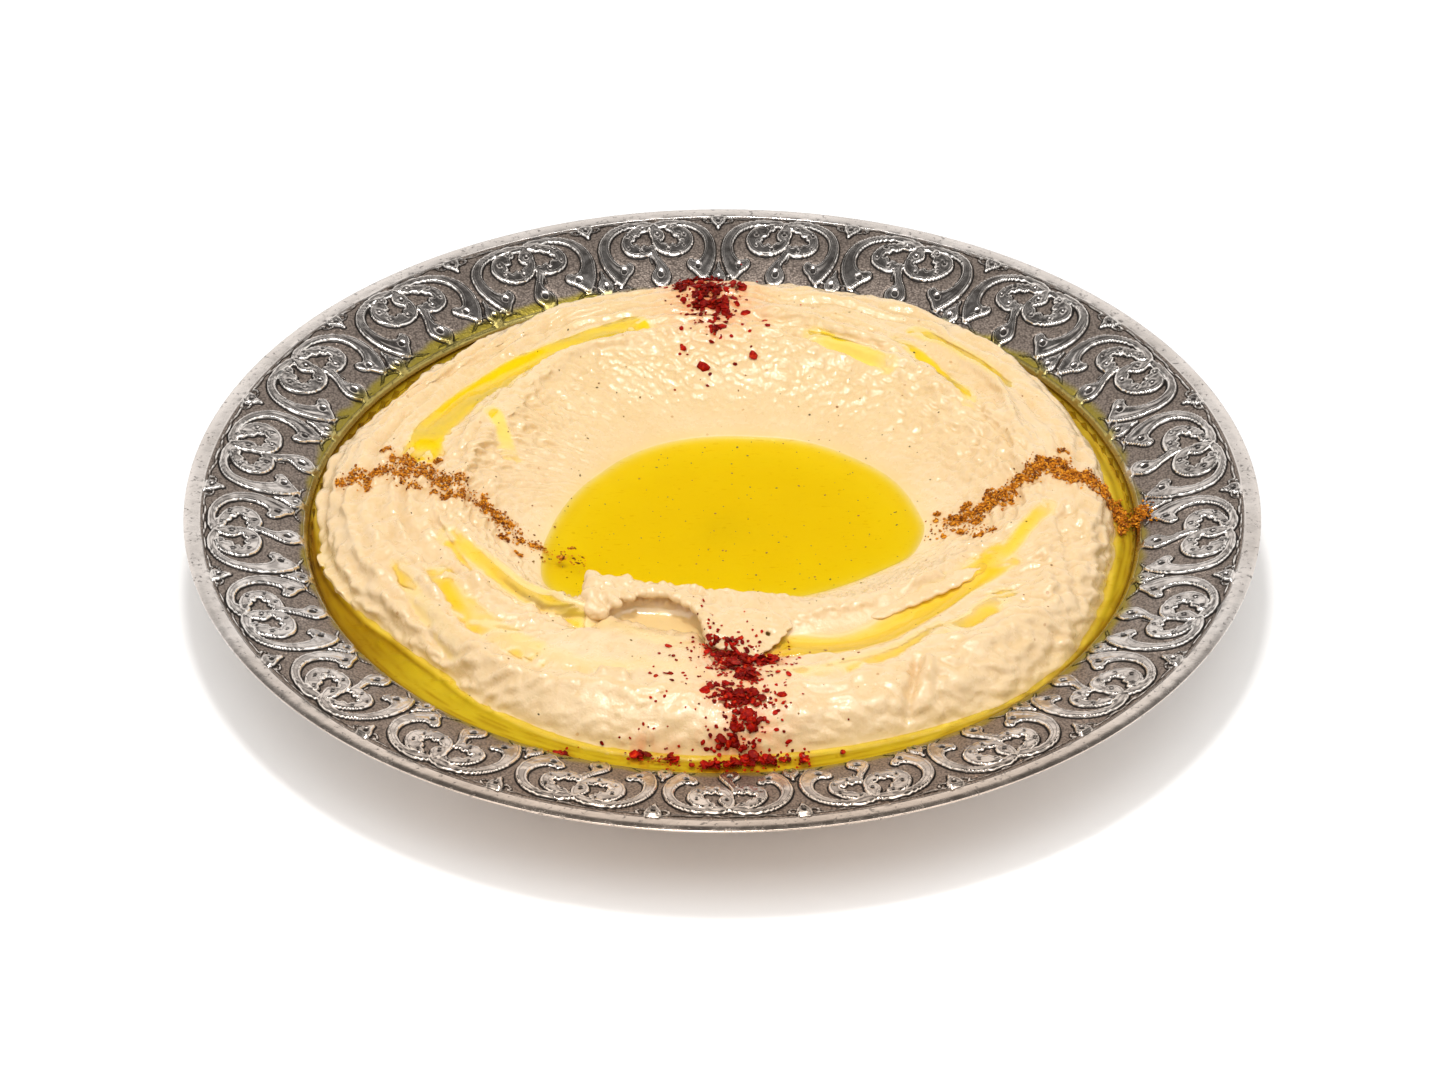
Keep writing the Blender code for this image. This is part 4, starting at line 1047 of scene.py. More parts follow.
# ---------------------------------------------------------------- the hummus mesh
def build_hummus(oil, spice, chilli, under, soaked):
    n, rows = SURF["x"].shape
    verts = [np.stack([SURF["x"], SURF["y"], SURF["z"]], -1)[:, 1:].reshape(-1, 3)]
    count = rows - 1
    i, j = np.arange(n), (np.arange(n) + 1) % n
    faces = [np.stack([i * count + k, i * count + k + 1, j * count + k + 1, j * count + k], 1) for k in range(count - 1)]
    total = n * count
    centre = total
    verts.append(np.array([[0, 0, float(SURF["z"][:, 0].mean())]]))
    faces.append(np.stack([np.full(n, centre), i * count, j * count], 1))
    total += 1
    # the underside follows the plate
    step = 8
    m = n // step
    th = np.radians(SURF["theta"][::step])
    radii = np.array([92.4, 91.6, 90.6, 89.2, 87.5, 85.0, 81.5, 77.0, 40.0, 4.0])
    heights = profile_z(radii) + 0.04
    P = np.stack([np.outer(radii, np.cos(th)), np.outer(radii, np.sin(th)), np.repeat(heights[:, None], m, 1)], -1)
    starts = [total + k * m for k in range(len(radii))]
    verts.append(P.reshape(-1, 3)); total += len(radii) * m
    for a, b in zip(starts[:-1], starts[1:]):
        faces.append(ring_faces(a, b, m))
    a = starts[0] + np.arange(m); b = starts[0] + (np.arange(m) + 1) % m
    f = [((np.arange(m) * step + k) % n) * count + count - 1 for k in range(step + 1)]
    for k in range(step // 2):
        faces.append(np.stack([a, f[k + 1], f[k]], 1))
    faces.append(np.stack([a, b, f[step // 2]], 1))
    for k in range(step // 2, step):
        faces.append(np.stack([b, f[k + 1], f[k]], 1))
    verts.append(np.array([[0, 0, 1.64]]))
    q = np.arange(m)
    faces.append(np.stack([np.full(m, total), starts[-1] + (q + 1) % m, starts[-1] + q], 1))
    obj = make_mesh("hummus_spread", np.concatenate(verts), faces)
    pad = np.zeros(len(obj.data.vertices) - n * count)
    attribute(obj, "oil", np.concatenate([oil[:, 1:].ravel(), pad]))
    attribute(obj, "spice", np.concatenate([spice[:, 1:].ravel(), pad]))
    attribute(obj, "chilli", np.concatenate([chilli[:, 1:].ravel(), pad]))
    attribute(obj, "under", np.concatenate([under[:, 1:].ravel(), pad]))
    attribute(obj, "soaked", np.concatenate([soaked[:, 1:].ravel(), pad]))
    # painted shade: the hollow attribute darkens the hummus in its creases
    attribute(obj, "hollow", np.concatenate([np.clip((-SURF["dent"][:, 1:].ravel() - 0.01) / 0.30, 0, 1), pad]))
    return obj


# the torn curl in front: (x, y, z, radii along, across and up) in mm, fused into one skin
CURL = [
    (-28.2, -34.4, 26.0, 2.0, 2.0, 2.0), (-28.8, -33.4, 26.9, 1.1, 1.0, 1.2), (-27.6, -36.8, 25.6, 3.0, 3.0, 2.8), (-28.4, -40.0, 24.8, 2.6, 3.0, 3.2),
    (-28.0, -43.2, 24.2, 2.4, 2.4, 2.6), (-26.2, -44.6, 24.6, 2.0, 1.8, 1.9), (-24.8, -36.4, 26.0, 2.6, 2.4, 2.0), (-24.6, -40.2, 25.6, 2.3, 2.5, 2.1),
    (-21.6, -36.4, 26.1, 2.4, 2.0, 1.6), (-20.7, -34.9, 26.8, 1.2, 1.0, 1.0), (-21.6, -39.6, 25.9, 2.0, 1.8, 1.5), (-23.4, -43.0, 26.0, 1.9, 1.4, 1.3),
    (-20.4, -41.2, 26.2, 1.9, 1.4, 1.2), (-18.4, -37.2, 25.9, 2.4, 2.0, 1.4), (-17.6, -39.6, 26.3, 2.0, 1.3, 1.2), (-15.0, -38.2, 25.8, 2.2, 1.9, 1.3),
    (-15.2, -39.6, 26.2, 1.9, 1.3, 1.2), (-12.6, -39.6, 26.1, 2.0, 1.3, 1.2), (-12.0, -38.4, 25.7, 2.2, 1.8, 1.3), (-10.0, -40.9, 26.0, 1.9, 1.3, 1.2),
    (-8.8, -39.8, 25.5, 2.2, 1.9, 1.4), (-7.6, -42.6, 25.9, 1.7, 1.5, 1.2), (-5.8, -41.8, 25.3, 2.2, 2.0, 1.5), (-5.4, -44.6, 25.7, 1.6, 1.7, 1.3),
    (-4.0, -46.9, 25.3, 1.5, 1.8, 1.4), (-3.2, -49.4, 24.9, 1.4, 1.8, 1.5), (-2.9, -52.0, 24.3, 1.3, 1.7, 1.5), (-2.6, -54.4, 23.6, 1.2, 1.5, 1.4),
    (-2.4, -44.4, 25.1, 2.4, 2.2, 1.1), (-0.4, -47.4, 24.9, 2.8, 2.6, 0.9), (-0.2, -51.0, 24.3, 2.8, 2.6, 0.9), (0.6, -54.6, 23.5, 2.8, 2.4, 0.9),
    (2.6, -45.4, 25.0, 3.0, 2.2, 0.9), (6.2, -45.6, 24.8, 3.0, 2.2, 0.8), (9.8, -46.2, 24.6, 3.0, 2.0, 0.75), (12.8, -47.2, 24.3, 2.2, 1.4, 0.65),
    (3.8, -49.0, 24.6, 3.2, 2.8, 0.8), (7.6, -49.2, 24.4, 3.0, 2.6, 0.75), (10.8, -49.4, 24.1, 2.4, 1.8, 0.65), (3.8, -52.8, 24.0, 3.0, 2.6, 0.75),
    (7.2, -52.6, 23.8, 2.6, 2.4, 0.7), (4.2, -56.0, 23.3, 2.6, 2.0, 0.7), (7.0, -55.2, 23.3, 1.8, 1.8, 0.65), (5.2, -58.0, 22.8, 1.8, 1.4, 0.7),
    (13.6, -48.6, 23.9, 2.0, 1.6, 0.6), (12.2, -50.8, 23.6, 2.0, 1.7, 0.6), (10.8, -53.0, 23.2, 1.9, 1.7, 0.6), (9.2, -55.0, 22.9, 1.8, 1.6, 0.6), (7.4, -57.2, 22.6, 1.7, 1.5, 0.6),
    # the torn lip over the channel on the right
    (35.0, -42.0, 22.8, 3.6, 2.2, 0.8), (38.2, -40.0, 23.1, 3.4, 2.3, 0.9), (41.4, -38.0, 23.3, 3.4, 2.4, 1.0), (44.6, -36.0, 23.5, 3.2, 2.2, 1.0),
    (47.8, -34.1, 23.7, 3.2, 2.2, 1.0), (50.8, -32.1, 23.9, 3.2, 2.1, 1.0), (53.8, -30.1, 24.1, 3.0, 1.9, 0.95), (56.6, -28.2, 24.3, 2.6, 1.6, 0.8),
    (45.0, -33.2, 23.9, 3.4, 2.4, 0.8), (50.0, -29.8, 24.2, 3.4, 2.2, 0.8),
    # the tip that hangs over at the back left
    (-45.6, 34.6, 28.5, 2.8, 1.7, 1.1), (-46.9, 31.8, 28.8, 2.6, 1.9, 1.2), (-48.2, 29.0, 28.9, 2.4, 2.1, 1.25), (-49.0, 26.2, 28.8, 2.1, 2.2, 1.2),
    (-48.6, 23.9, 28.4, 1.7, 1.9, 1.1), (-51.2, 25.8, 28.2, 2.2, 2.0, 1.2), (-47.0, 24.6, 28.2, 1.3, 1.4, 0.9),
]


def build_curl():
    """One closed skin round the curl's lumps."""
    bm = bmesh.new()
    for x, y, z, a, b, c in CURL:
        made = bmesh.ops.create_icosphere(bm, subdivisions=3, radius=1.0)
        # the long way of each lump lies along the lip
        turn = math.atan2(y, x) + math.pi / 2 if x < -4 or x > 30 else 0.0
        spin = Matrix.Translation((x * MM, y * MM, z * MM)) @ Matrix.Rotation(turn, 4, "Z") @ Matrix.Diagonal((a * MM, b * MM, c * MM, 1.0))
        bmesh.ops.transform(bm, matrix=spin, verts=made["verts"])
    mesh = bpy.data.meshes.new("curl_lumps")
    bm.to_mesh(mesh); bm.free()
    rough = bpy.data.objects.new("curl_lumps", mesh)
    scene.collection.objects.link(rough)
    fuse = rough.modifiers.new("fuse", "REMESH")
    fuse.mode = "VOXEL"
    fuse.voxel_size = 0.00037
    ease = rough.modifiers.new("ease", "SMOOTH")
    ease.factor, ease.iterations = 0.6, 9
    dg = bpy.context.evaluated_depsgraph_get()
    done = bpy.data.meshes.new_from_object(rough.evaluated_get(dg))
    n = len(done.vertices)
    co = np.empty(n * 3, np.float32); done.vertices.foreach_get("co", co)
    nr = np.empty(n * 3, np.float32); done.vertices.foreach_get("normal", nr)
    co, nr = co.reshape(-1, 3).astype(float) / MM, nr.reshape(-1, 3).astype(float)
    x, y, z = co.T
    th = np.arctan2(y, x) * 44.0
    rr = np.hypot(x, y)
    fold = billow(noise2((th + 0.8 * z) / 5.5, (rr + 0.9 * z) / 1.5, 101)) - 0.42
    wave = noise2(x / 3.1 + z / 3.0, y / 3.1, 102)
    fine = noise2(x / 1.2 + z / 1.5, y / 1.2, 103)
    amp = np.where(x > -2.0, 0.35, 1.0)
    co += nr * (amp * (0.42 * fold + 0.42 * wave) + 0.08 * fine)[:, None]
    done.vertices.foreach_set("co", (co * MM).astype(np.float32).ravel())
    done.update()
    done.polygons.foreach_set("use_smooth", np.ones(len(done.polygons), bool))
    bpy.data.objects.remove(rough)
    bpy.data.meshes.remove(mesh)
    done.name = "hummus_curl"
    obj = bpy.data.objects.new("hummus_curl", done)
    scene.collection.objects.link(obj)
    attribute(obj, "oil", np.zeros(n)); attribute(obj, "spice", np.zeros(n)); attribute(obj, "chilli", np.zeros(n)); attribute(obj, "under", np.zeros(n)); attribute(obj, "soaked", np.zeros(n))
    # painted shade: the hollow attribute darkens the curl in its folds
    attribute(obj, "hollow", np.clip(-(fold * amp) / 0.35, 0, 0.8))
    return obj


# ---------------------------------------------------------------- oil on the hummus's grid
def oil_film(name, top, keep, depth=None, sink=0.35, stride=1, sigma=(0.010, 0.034, 0.90), extra=None, glint=None):
    """A closed film: its top where given, its underside just inside the hummus. keep marks grid points."""
    X, Y, Z, top, keep = (a[::stride] for a in (SURF["x"], SURF["y"], SURF["z"], top, keep))
    depth, extra, glint = (None if a is None else a[::stride] for a in (depth, extra, glint))
    n, rows = X.shape
    quad = keep & np.roll(keep, -1, 0)
    quad = quad[:, :-1] & quad[:, 1:]
    ii, kk = np.nonzero(quad)
    a, b = ii * rows + kk, ii * rows + kk + 1
    c, d = ((ii + 1) % n) * rows + kk + 1, ((ii + 1) % n) * rows + kk
    q = np.stack([a, b, c, d], 1)
    used = np.unique(q)
    index = np.full(n * rows, -1)
    index[used] = np.arange(len(used))
    q = index[q]
    low = np.minimum(top, Z) - sink
    x, y = X.ravel()[used], Y.ravel()[used]
    up = np.stack([x, y, top.ravel()[used]], 1)
    down = np.stack([x, y, low.ravel()[used]], 1)
    N = len(used)
    # rim edges: those that only one quad has
    e = np.concatenate([q[:, [0, 1]], q[:, [1, 2]], q[:, [2, 3]], q[:, [3, 0]]])
    key = e[:, 0].astype(np.int64) * N + e[:, 1]
    back = e[:, 1].astype(np.int64) * N + e[:, 0]
    rim = e[~np.isin(key, back)]
    sides = np.stack([rim[:, 1], rim[:, 0], rim[:, 0] + N, rim[:, 1] + N], 1)
    obj = make_mesh(name, np.concatenate([up, down]), [q, q[:, ::-1] + N, sides])
    dep = np.maximum((top - Z) if depth is None else depth, 0.0)
    tint = np.exp(-np.stack([s * dep for s in sigma], -1))
    if extra is not None:
        tint = tint * extra
    tint = tint.reshape(-1, 3)[used]
    attribute(obj, "tint", np.concatenate([tint, np.ones((N, 3))]))
    shine = np.zeros(N) if glint is None else glint.ravel()[used]
    attribute(obj, "glint", np.concatenate([shine, shine]))
    return obj


# ---------------------------------------------------------------- toppings
RNG = np.random.default_rng(4817)

# heaps of flakes: x, y, half width, half depth, how many; single flakes: x, y, size (mm)
FLAKE_HEAPS = [
    (-2.5, -56.7, 2.0, 3.4, 26), (2.4, -62.3, 4.7, 5.0, 85), (9.0, -60.2, 4.0, 2.8, 34), (5.4, -69.3, 2.0, 3.3, 36), (3.0, -56.4, 3.1, 2.8, 16),
    (3.7, -77.4, 4.9, 2.0, 56), (2.5, -82.2, 0.4, 2.3, 18), (5.3, -82.3, 2.5, 1.0, 22), (2.3, -84.7, 4.9, 0.8, 14), (0.4, -75.0, 4.5, 2.6, 16),
    (6.6, -86.7, 1.8, 1.4, 26), (9.5, -87.1, 1.3, 1.4, 18), (-17.2, -85.5, 1.8, 0.9, 22), (-11.1, -86.6, 1.3, 0.9, 13), (1.3, -89.0, 5.8, 0.6, 26),
    (12.5, -86.9, 1.3, 0.6, 7), (17.2, -87.0, 0.9, 0.9, 9), (-34.0, -85.6, 1.3, 1.0, 12), (6.0, -80.4, 5.8, 4.4, 16), (-4.8, 83.7, 4.2, 1.5, 60),
    (-9.3, 79.3, 1.8, 3.0, 30), (-3.7, 77.3, 3.3, 3.9, 80), (-5.6, 72.3, 1.3, 3.4, 34), (-1.8, 70.2, 2.7, 1.7, 30), (0.6, 71.9, 0.9, 3.8, 22),
    (1.7, 66.9, 1.1, 1.1, 9), (3.3, 79.3, 1.6, 1.6, 12), (-1.8, 64.1, 1.1, 2.1, 9), (-1.3, 58.8, 1.6, 1.1, 15), (-2.3, 73.6, 8.0, 11.2, 26),
]
FLAKE_SINGLES = [
    (-11.6, -57.0, 1.2), (-10.5, -61.7, 1.0), (-6.4, -52.9, 0.8), (-15.4, -68.3, 0.7), (-14.2, -70.0, 0.9), (-11.9, -69.2, 1.3), (-11.0, -69.3, 1.3),
    (-10.7, -72.1, 1.0), (-3.2, -67.0, 0.9), (11.9, -68.2, 1.3), (14.2, -69.3, 1.1), (11.5, -73.4, 0.8), (12.7, -76.2, 1.8), (11.4, -77.7, 0.8),
    (11.2, -80.4, 0.9), (8.8, -81.5, 1.2), (-4.1, -84.9, 1.0), (-3.4, -85.3, 0.9), (-1.7, -85.4, 0.9), (-0.6, -85.8, 0.8), (-1.5, -87.0, 1.1),
    (14.0, -83.9, 1.1), (-2.6, -84.1, 0.8), (-1.3, -83.1, 0.7), (0.6, -83.3, 0.9), (-1.8, -78.1, 0.9), (-1.7, -76.4, 1.0), (-6.5, -88.9, 1.2),
    (25.5, -84.4, 1.0), (1.0, 77.3, 1.5), (5.3, 68.2, 1.9), (7.4, 63.6, 1.4), (9.9, 65.5, 1.2), (10.5, 59.6, 1.2), (6.4, 59.0, 0.8), (-8.2, 66.5, 1.4),
    (-6.1, 66.0, 0.9), (-7.8, 70.3, 1.3), (-9.0, 72.4, 1.5), (-2.5, 56.2, 1.0), (-4.3, 49.3, 3.0), (-2.8, 47.4, 0.9), (-3.4, 44.9, 0.8),
    (-10.9, 43.2, 0.6), (-9.1, 54.1, 1.7), (-9.4, 55.2, 0.7), (-8.0, 52.4, 0.7), (-9.4, 59.0, 0.9), (2.9, 50.4, 1.0), (7.1, 52.0, 2.0),
    (-22.5, 79.8, 0.7), (-14.6, 81.9, 0.7), (-13.2, 79.0, 0.8),
]
# cumin: x, y, half width, half depth of each clump
CUMIN_LEFT = [
    (-85.6, 4.5, 1.0, 1.2), (-82.4, 5.7, 1.8, 1.7), (-79.2, 1.6, 0.8, 2.6), (-76.8, 6.1, 2.4, 1.7), (-75.6, 13.4, 1.3, 1.0), (-74.0, 10.2, 0.8, 1.7),
    (-71.7, 3.4, 2.0, 2.7), (-70.5, 9.2, 1.8, 2.0), (-66.7, 5.1, 2.4, 3.2), (-63.7, 9.7, 1.0, 0.8), (-62.5, 0.1, 2.4, 1.9), (-58.3, -0.1, 1.3, 1.8),
    (-60.7, -5.6, 2.0, 1.6), (-57.9, -6.1, 0.8, 1.3), (-64.0, -4.0, 0.8, 0.9), (-68.9, -1.4, 1.6, 1.0), (-53.1, -3.8, 0.6, 2.1),
    (-53.6, -5.7, 1.3, 1.1), (-51.8, -6.6, 1.6, 1.4), (-50.0, -7.5, 1.8, 1.8), (-48.0, -8.8, 1.8, 1.7), (-48.3, -14.7, 1.2, 0.8),
    (-44.8, -13.4, 0.8, 0.7), (-41.4, -13.4, 1.8, 1.0), (-45.1, -18.3, 0.9, 0.6), (-33.4, -13.1, 1.0, 0.3), (-35.7, -16.7, 0.8, 0.8),
]
CUMIN_RIGHT = [
    (48.1, -1.9, 0.7, 0.5), (47.6, -4.0, 0.5, 0.5), (51.6, -5.0, 1.0, 0.7), (51.6, -7.2, 0.9, 0.6), (54.5, -2.3, 1.1, 1.3), (53.9, -5.8, 0.7, 0.8),
    (56.7, -8.4, 1.5, 1.5), (53.0, -10.9, 0.8, 0.9), (49.1, -11.0, 0.4, 0.4), (57.5, -4.6, 1.6, 1.4), (59.8, -2.2, 1.6, 2.9), (63.5, -3.9, 2.0, 2.7),
    (66.2, 1.4, 1.6, 2.8), (68.7, 1.8, 1.6, 2.6), (70.8, 5.1, 1.5, 1.6), (72.6, 7.8, 2.5, 1.6), (75.6, 8.2, 2.0, 1.6), (76.0, 3.8, 2.5, 3.2),
    (78.6, 3.0, 2.5, 3.1), (81.7, 4.1, 1.6, 2.3), (83.8, 1.6, 1.8, 2.8), (85.6, 0.8, 1.3, 3.0), (88.0, 5.4, 1.6, 3.1), (89.1, 2.4, 1.6, 3.6),
    (89.2, -2.6, 1.1, 2.3), (76.5, 12.6, 1.3, 0.7), (57.2, -16.1, 1.3, 0.9),
]


def joined_bits(name, bits, smooth=True):
    """bits: (vertices, faces of triangles, shade) for each grain; all in one mesh."""
    verts, faces, shades, at = [], [], [], 0
    for v, f, s in bits:
        verts.append(v); faces.append(f + at); shades.append(np.full(len(v), s)); at += len(v)
    obj = make_mesh(name, np.concatenate(verts), [np.concatenate(faces)], smooth)
    return obj, np.concatenate(shades)


def surface_frame(x, y):
    """Height and upward normal of what a grain lies on."""
    e = 0.5
    xs, ys = [x, x + e, x - e, x, x], [y, y, y, y + e, y - e]
    h = ground(xs, ys)
    if -36 < x < 18 and -62 < y < -28:
        for k, (a, b) in enumerate(zip(xs, ys)):
            hit = CURL_TREE.ray_cast(Vector((a * MM, b * MM, 0.06)), Vector((0, 0, -1)))[0]
            if hit is not None:
                h[k] = max(h[k], hit[2] / MM)
    n = np.array([(h[2] - h[1]) / (2 * e), (h[4] - h[3]) / (2 * e), 1.0])
    return h[0], n / np.linalg.norm(n)


def turned_to(v, normal, spin):
    c, s = math.cos(spin), math.sin(spin)
    v = np.stack([v[:, 0] * c - v[:, 1] * s, v[:, 0] * s + v[:, 1] * c, v[:, 2]], 1)
    x = np.cross([0.0, 1.0, 0.02], normal); x /= np.linalg.norm(x)
    y = np.cross(normal, x)
    return v[:, :1] * x + v[:, 1:2] * y + v[:, 2:3] * normal


def flake(size):
    """A scrap of dried chilli skin: a ragged, curled plate."""
    n = 9
    a = np.arange(n) * 2 * np.pi / n + RNG.normal(0, 0.12, n)
    long, wide = size * 0.5 * RNG.uniform(0.95, 1.3), size * 0.5 * RNG.uniform(0.75, 1.05)
    r = RNG.uniform(0.80, 1.12, n)
    x, y = long * r * np.cos(a), wide * r * np.sin(a)
    curl = RNG.uniform(0.10, 0.42) * RNG.choice([-1, 1], p=[0.3, 0.7]) / size
    twist = RNG.uniform(-0.25, 0.25) / size
    inner_x, inner_y = 0.55 * x, 0.55 * y
    px = np.concatenate([x, inner_x, [0.0]]); py = np.concatenate([y, inner_y, [0.0]])
    pz = curl * px ** 2 * 1.0 + 0.6 * curl * py ** 2 + twist * px * py + RNG.normal(0, 0.03 * size, len(px))
    t = min(0.30, 0.10 + 0.07 * size) * 0.5
    top = np.stack([px, py, pz + t], 1); bottom = np.stack([px, py, pz - t], 1)
    top[:n, 2] -= 0.5 * t; bottom[:n, 2] += 0.5 * t
    i = np.arange(n); j = (i + 1) % n
    up = np.concatenate([np.stack([i, j, n + j], 1), np.stack([i, n + j, n + i], 1), np.stack([n + i, n + j, np.full(n, 2 * n)], 1)])
    m = 2 * n + 1
    side = np.concatenate([np.stack([i + m, j + m, j], 1), np.stack([i + m, j, i], 1)])
    return np.concatenate([top, bottom]), np.concatenate([up, up[:, ::-1] + m, side])


PHI = (1 + 5 ** 0.5) / 2
ICO_V = np.array([(-1, PHI, 0), (1, PHI, 0), (-1, -PHI, 0), (1, -PHI, 0), (0, -1, PHI), (0, 1, PHI), (0, -1, -PHI), (0, 1, -PHI), (PHI, 0, -1),
                  (PHI, 0, 1), (-PHI, 0, -1), (-PHI, 0, 1)], float)
ICO_V /= np.linalg.norm(ICO_V[0])
ICO_F = np.array([(0, 11, 5), (0, 5, 1), (0, 1, 7), (0, 7, 10), (0, 10, 11), (1, 5, 9), (5, 11, 4), (11, 10, 2), (10, 7, 6), (7, 1, 8), (3, 9, 4),
                  (3, 4, 2), (3, 2, 6), (3, 6, 8), (3, 8, 9), (4, 9, 5), (2, 4, 11), (6, 2, 10), (8, 6, 7), (9, 8, 1)])


def grain(size, flat=0.6):
    v = ICO_V * RNG.uniform(0.75, 1.2, (12, 1)) * 0.5 * size
    return v * np.array([RNG.uniform(0.9, 1.5), RNG.uniform(0.7, 1.0), flat]), ICO_F


BALL = bmesh.new()
bmesh.ops.create_icosphere(BALL, subdivisions=1, radius=1.0)
BALL_V = np.array([v.co[:] for v in BALL.verts])
BALL_F = np.array([[v.index for v in f.verts] for f in BALL.faces])
BALL.free()


def clot(size):
    """A softened, oil-soaked crumb of chilli."""
    at = RNG.uniform(0, 90)
    bulge = 1.0 + 0.45 * noise2(BALL_V[:, 0] * 1.3 + at, BALL_V[:, 1] * 1.3 + BALL_V[:, 2], 111)
    v = BALL_V * bulge[:, None] * 0.5 * size * np.array([RNG.uniform(0.9, 1.35), RNG.uniform(0.75, 1.0), RNG.uniform(0.38, 0.6)])
    return v, BALL_F


def scatter_flakes():
    spots = []
    for x, y, sx, sy, n in FLAKE_HEAPS:
        for _ in range(int((1.35 if y < 0 else 1.2) * n)):
            r = RNG.uniform(0, 1) ** 0.6 * (1.0 if RNG.uniform() < 0.85 else 1.3)
            a = RNG.uniform(0, 2 * math.pi)
            spots.append((x + sx * r * math.cos(a), y + sy * r * math.sin(a), float(np.clip(RNG.lognormal(0.04, 0.38), 0.5, 2.5)), (1.0 - 0.6 * r) * min(n / 26.0, 1.4)))
    for x, y, sx, sy, n in FLAKE_HEAPS:                     # crumbs thrown wider
        for _ in range(int((1.1 if y < 0 else 0.5) * n)):
            spots.append((x + RNG.normal(0, 1.1 * sx + 0.8), y + RNG.normal(0, 1.1 * sy + 0.8), float(RNG.uniform(0.35, 0.8)), 0.0))
    for x, y, s in FLAKE_SINGLES:
        spots.append((x, y, 1.1 * s, 0.0))
    bits = []
    for x, y, s, heap in spots:
        r = math.hypot(x, y)
        z, nrm = surface_frame(x, y)
        if r > 92.0:
            z, nrm = float(profile_z(np.array([r]))[0]) + 0.4, np.array([0.0, 0.0, 1.0])
        floats = z < MOAT_Z if r > 80 else (r < 50 and z < POOL_Z)
        if floats:
            z, nrm = (MOAT_Z if r > 80 else POOL_Z) - 0.1, np.array([0.0, 0.0, 1.0])
        lean = nrm + RNG.normal(0, 0.22 + 0.26 * min(heap, 1.0), 3) * np.array([1, 1, 0.2])
        lean /= np.linalg.norm(lean)
        v, f = flake(1.12 * s) if RNG.uniform() > 0.30 else clot(1.0 * s)
        lift = 0.12 + abs(RNG.normal(0, 1.0)) * 0.55 * max(heap, 0.0)
        v = turned_to(v, lean, RNG.uniform(0, 2 * math.pi)) + np.array([x, y, z]) + nrm * lift
        # how dark each flake is: random, weighted darker in the heaps as painted shade
        bits.append((v, f, RNG.uniform(0, 1) ** ((0.75 if y < 0 else 0.35) if heap > 0.3 else 1.4)))
    obj, shade = joined_bits("chilli_flakes", bits)
    attribute(obj, "dark", shade)
    return obj


CUMIN_TRAILS = [
    ([(-86, 4.5), (-80, 4.5), (-74, 7), (-68, 5.5), (-62, 1), (-57, -4), (-51, -7), (-45, -12)], 1.5, 620),
    ([(-51, -7), (-44, -12.5), (-36, -16), (-30, -18)], 1.6, 110),
    ([(50, -5), (56, -5.5), (61, -3), (66, 1), (71, 5.5), (77, 4.5), (83, 2.5), (90, 1.5)], 1.2, 1400),
    ([(46, -8), (52, -9), (57, -13), (60, -16)], 1.6, 110),
]


def scatter_cumin():
    bits = []
    for clusters, coarse in ((CUMIN_LEFT, 0.85), (CUMIN_RIGHT, 1.0)):
        for x, y, sx, sy in clusters:
            for _ in range(int(27 + 19.0 * sx * sy)):
                r = math.sqrt(RNG.uniform(0, 1)) if RNG.uniform() < 0.93 else RNG.uniform(1.0, 1.7)
                a = RNG.uniform(0, 2 * math.pi)
                px, py = x + sx * r * math.cos(a), y + sy * r * math.sin(a)
                s = float(np.clip(RNG.lognormal(-0.68, 0.36), 0.24, 1.1)) * coarse
                z, nrm = surface_frame(px, py)
                rr = math.hypot(px, py)
                if rr > 92.2:
                    z, nrm = float(profile_z(np.array([rr]))[0]) + 0.35, np.array([0.0, 0.0, 1.0])
                elif rr > 80:
                    z = max(z, MOAT_Z)
                elif rr < 50:
                    z = max(z, POOL_Z - 0.1)
                v, f = grain(s)
                v = turned_to(v, nrm, RNG.uniform(0, 2 * math.pi)) + np.array([px, py, z]) + nrm * (0.05 + abs(RNG.normal(0, 0.18)))
                bits.append((v, f, RNG.uniform(0, 1)))
    for path, wide, count in CUMIN_TRAILS:                  # the trails between the clumps
        c = catmull(path, 8)
        for _ in range(count):
            k = int(RNG.integers(0, len(c) - 1))
            f = RNG.uniform(0, 1)
            spread = wide * (0.6 + 0.6 * abs(math.sin(0.9 * k)))
            px, py = c[k] * (1 - f) + c[k + 1] * f + RNG.normal(0, spread, 2) * np.array([0.8, 1.0])
            z, nrm = surface_frame(px, py)
            rr = math.hypot(px, py)
            if rr > 91.8:
                continue
            z = max(z, MOAT_Z) if rr > 80 else (max(z, POOL_Z - 0.1) if rr < 50 else z)
            v, g = grain(float(np.clip(RNG.lognormal(-0.85, 0.36), 0.2, 0.9)))
            v = turned_to(v, nrm, RNG.uniform(0, 2 * math.pi)) + np.array([px, py, z]) + nrm * (0.04 + abs(RNG.normal(0, 0.12)))
            bits.append((v, g, RNG.uniform(0, 1)))
    for _ in range(230):                                   # spilled on the rim at the right
        px, py = 93.4 + RNG.normal(0, 1.5), 0.4 + RNG.normal(0, 1.9)
        rr = math.hypot(px, py)
        z = max(float(profile_z(np.array([min(rr, 119.0)]))[0]) + 0.35, MOAT_Z)
        v, f = grain(float(np.clip(RNG.lognormal(-0.6, 0.38), 0.25, 1.1)))
        bits.append((turned_to(v, np.array([0.0, 0.0, 1.0]), RNG.uniform(0, 6.28)) + np.array([px, py, z + abs(RNG.normal(0, 0.3))]), f, RNG.uniform(0, 1)))
    obj, shade = joined_bits("cumin", bits)
    attribute(obj, "shade", shade)
    return obj


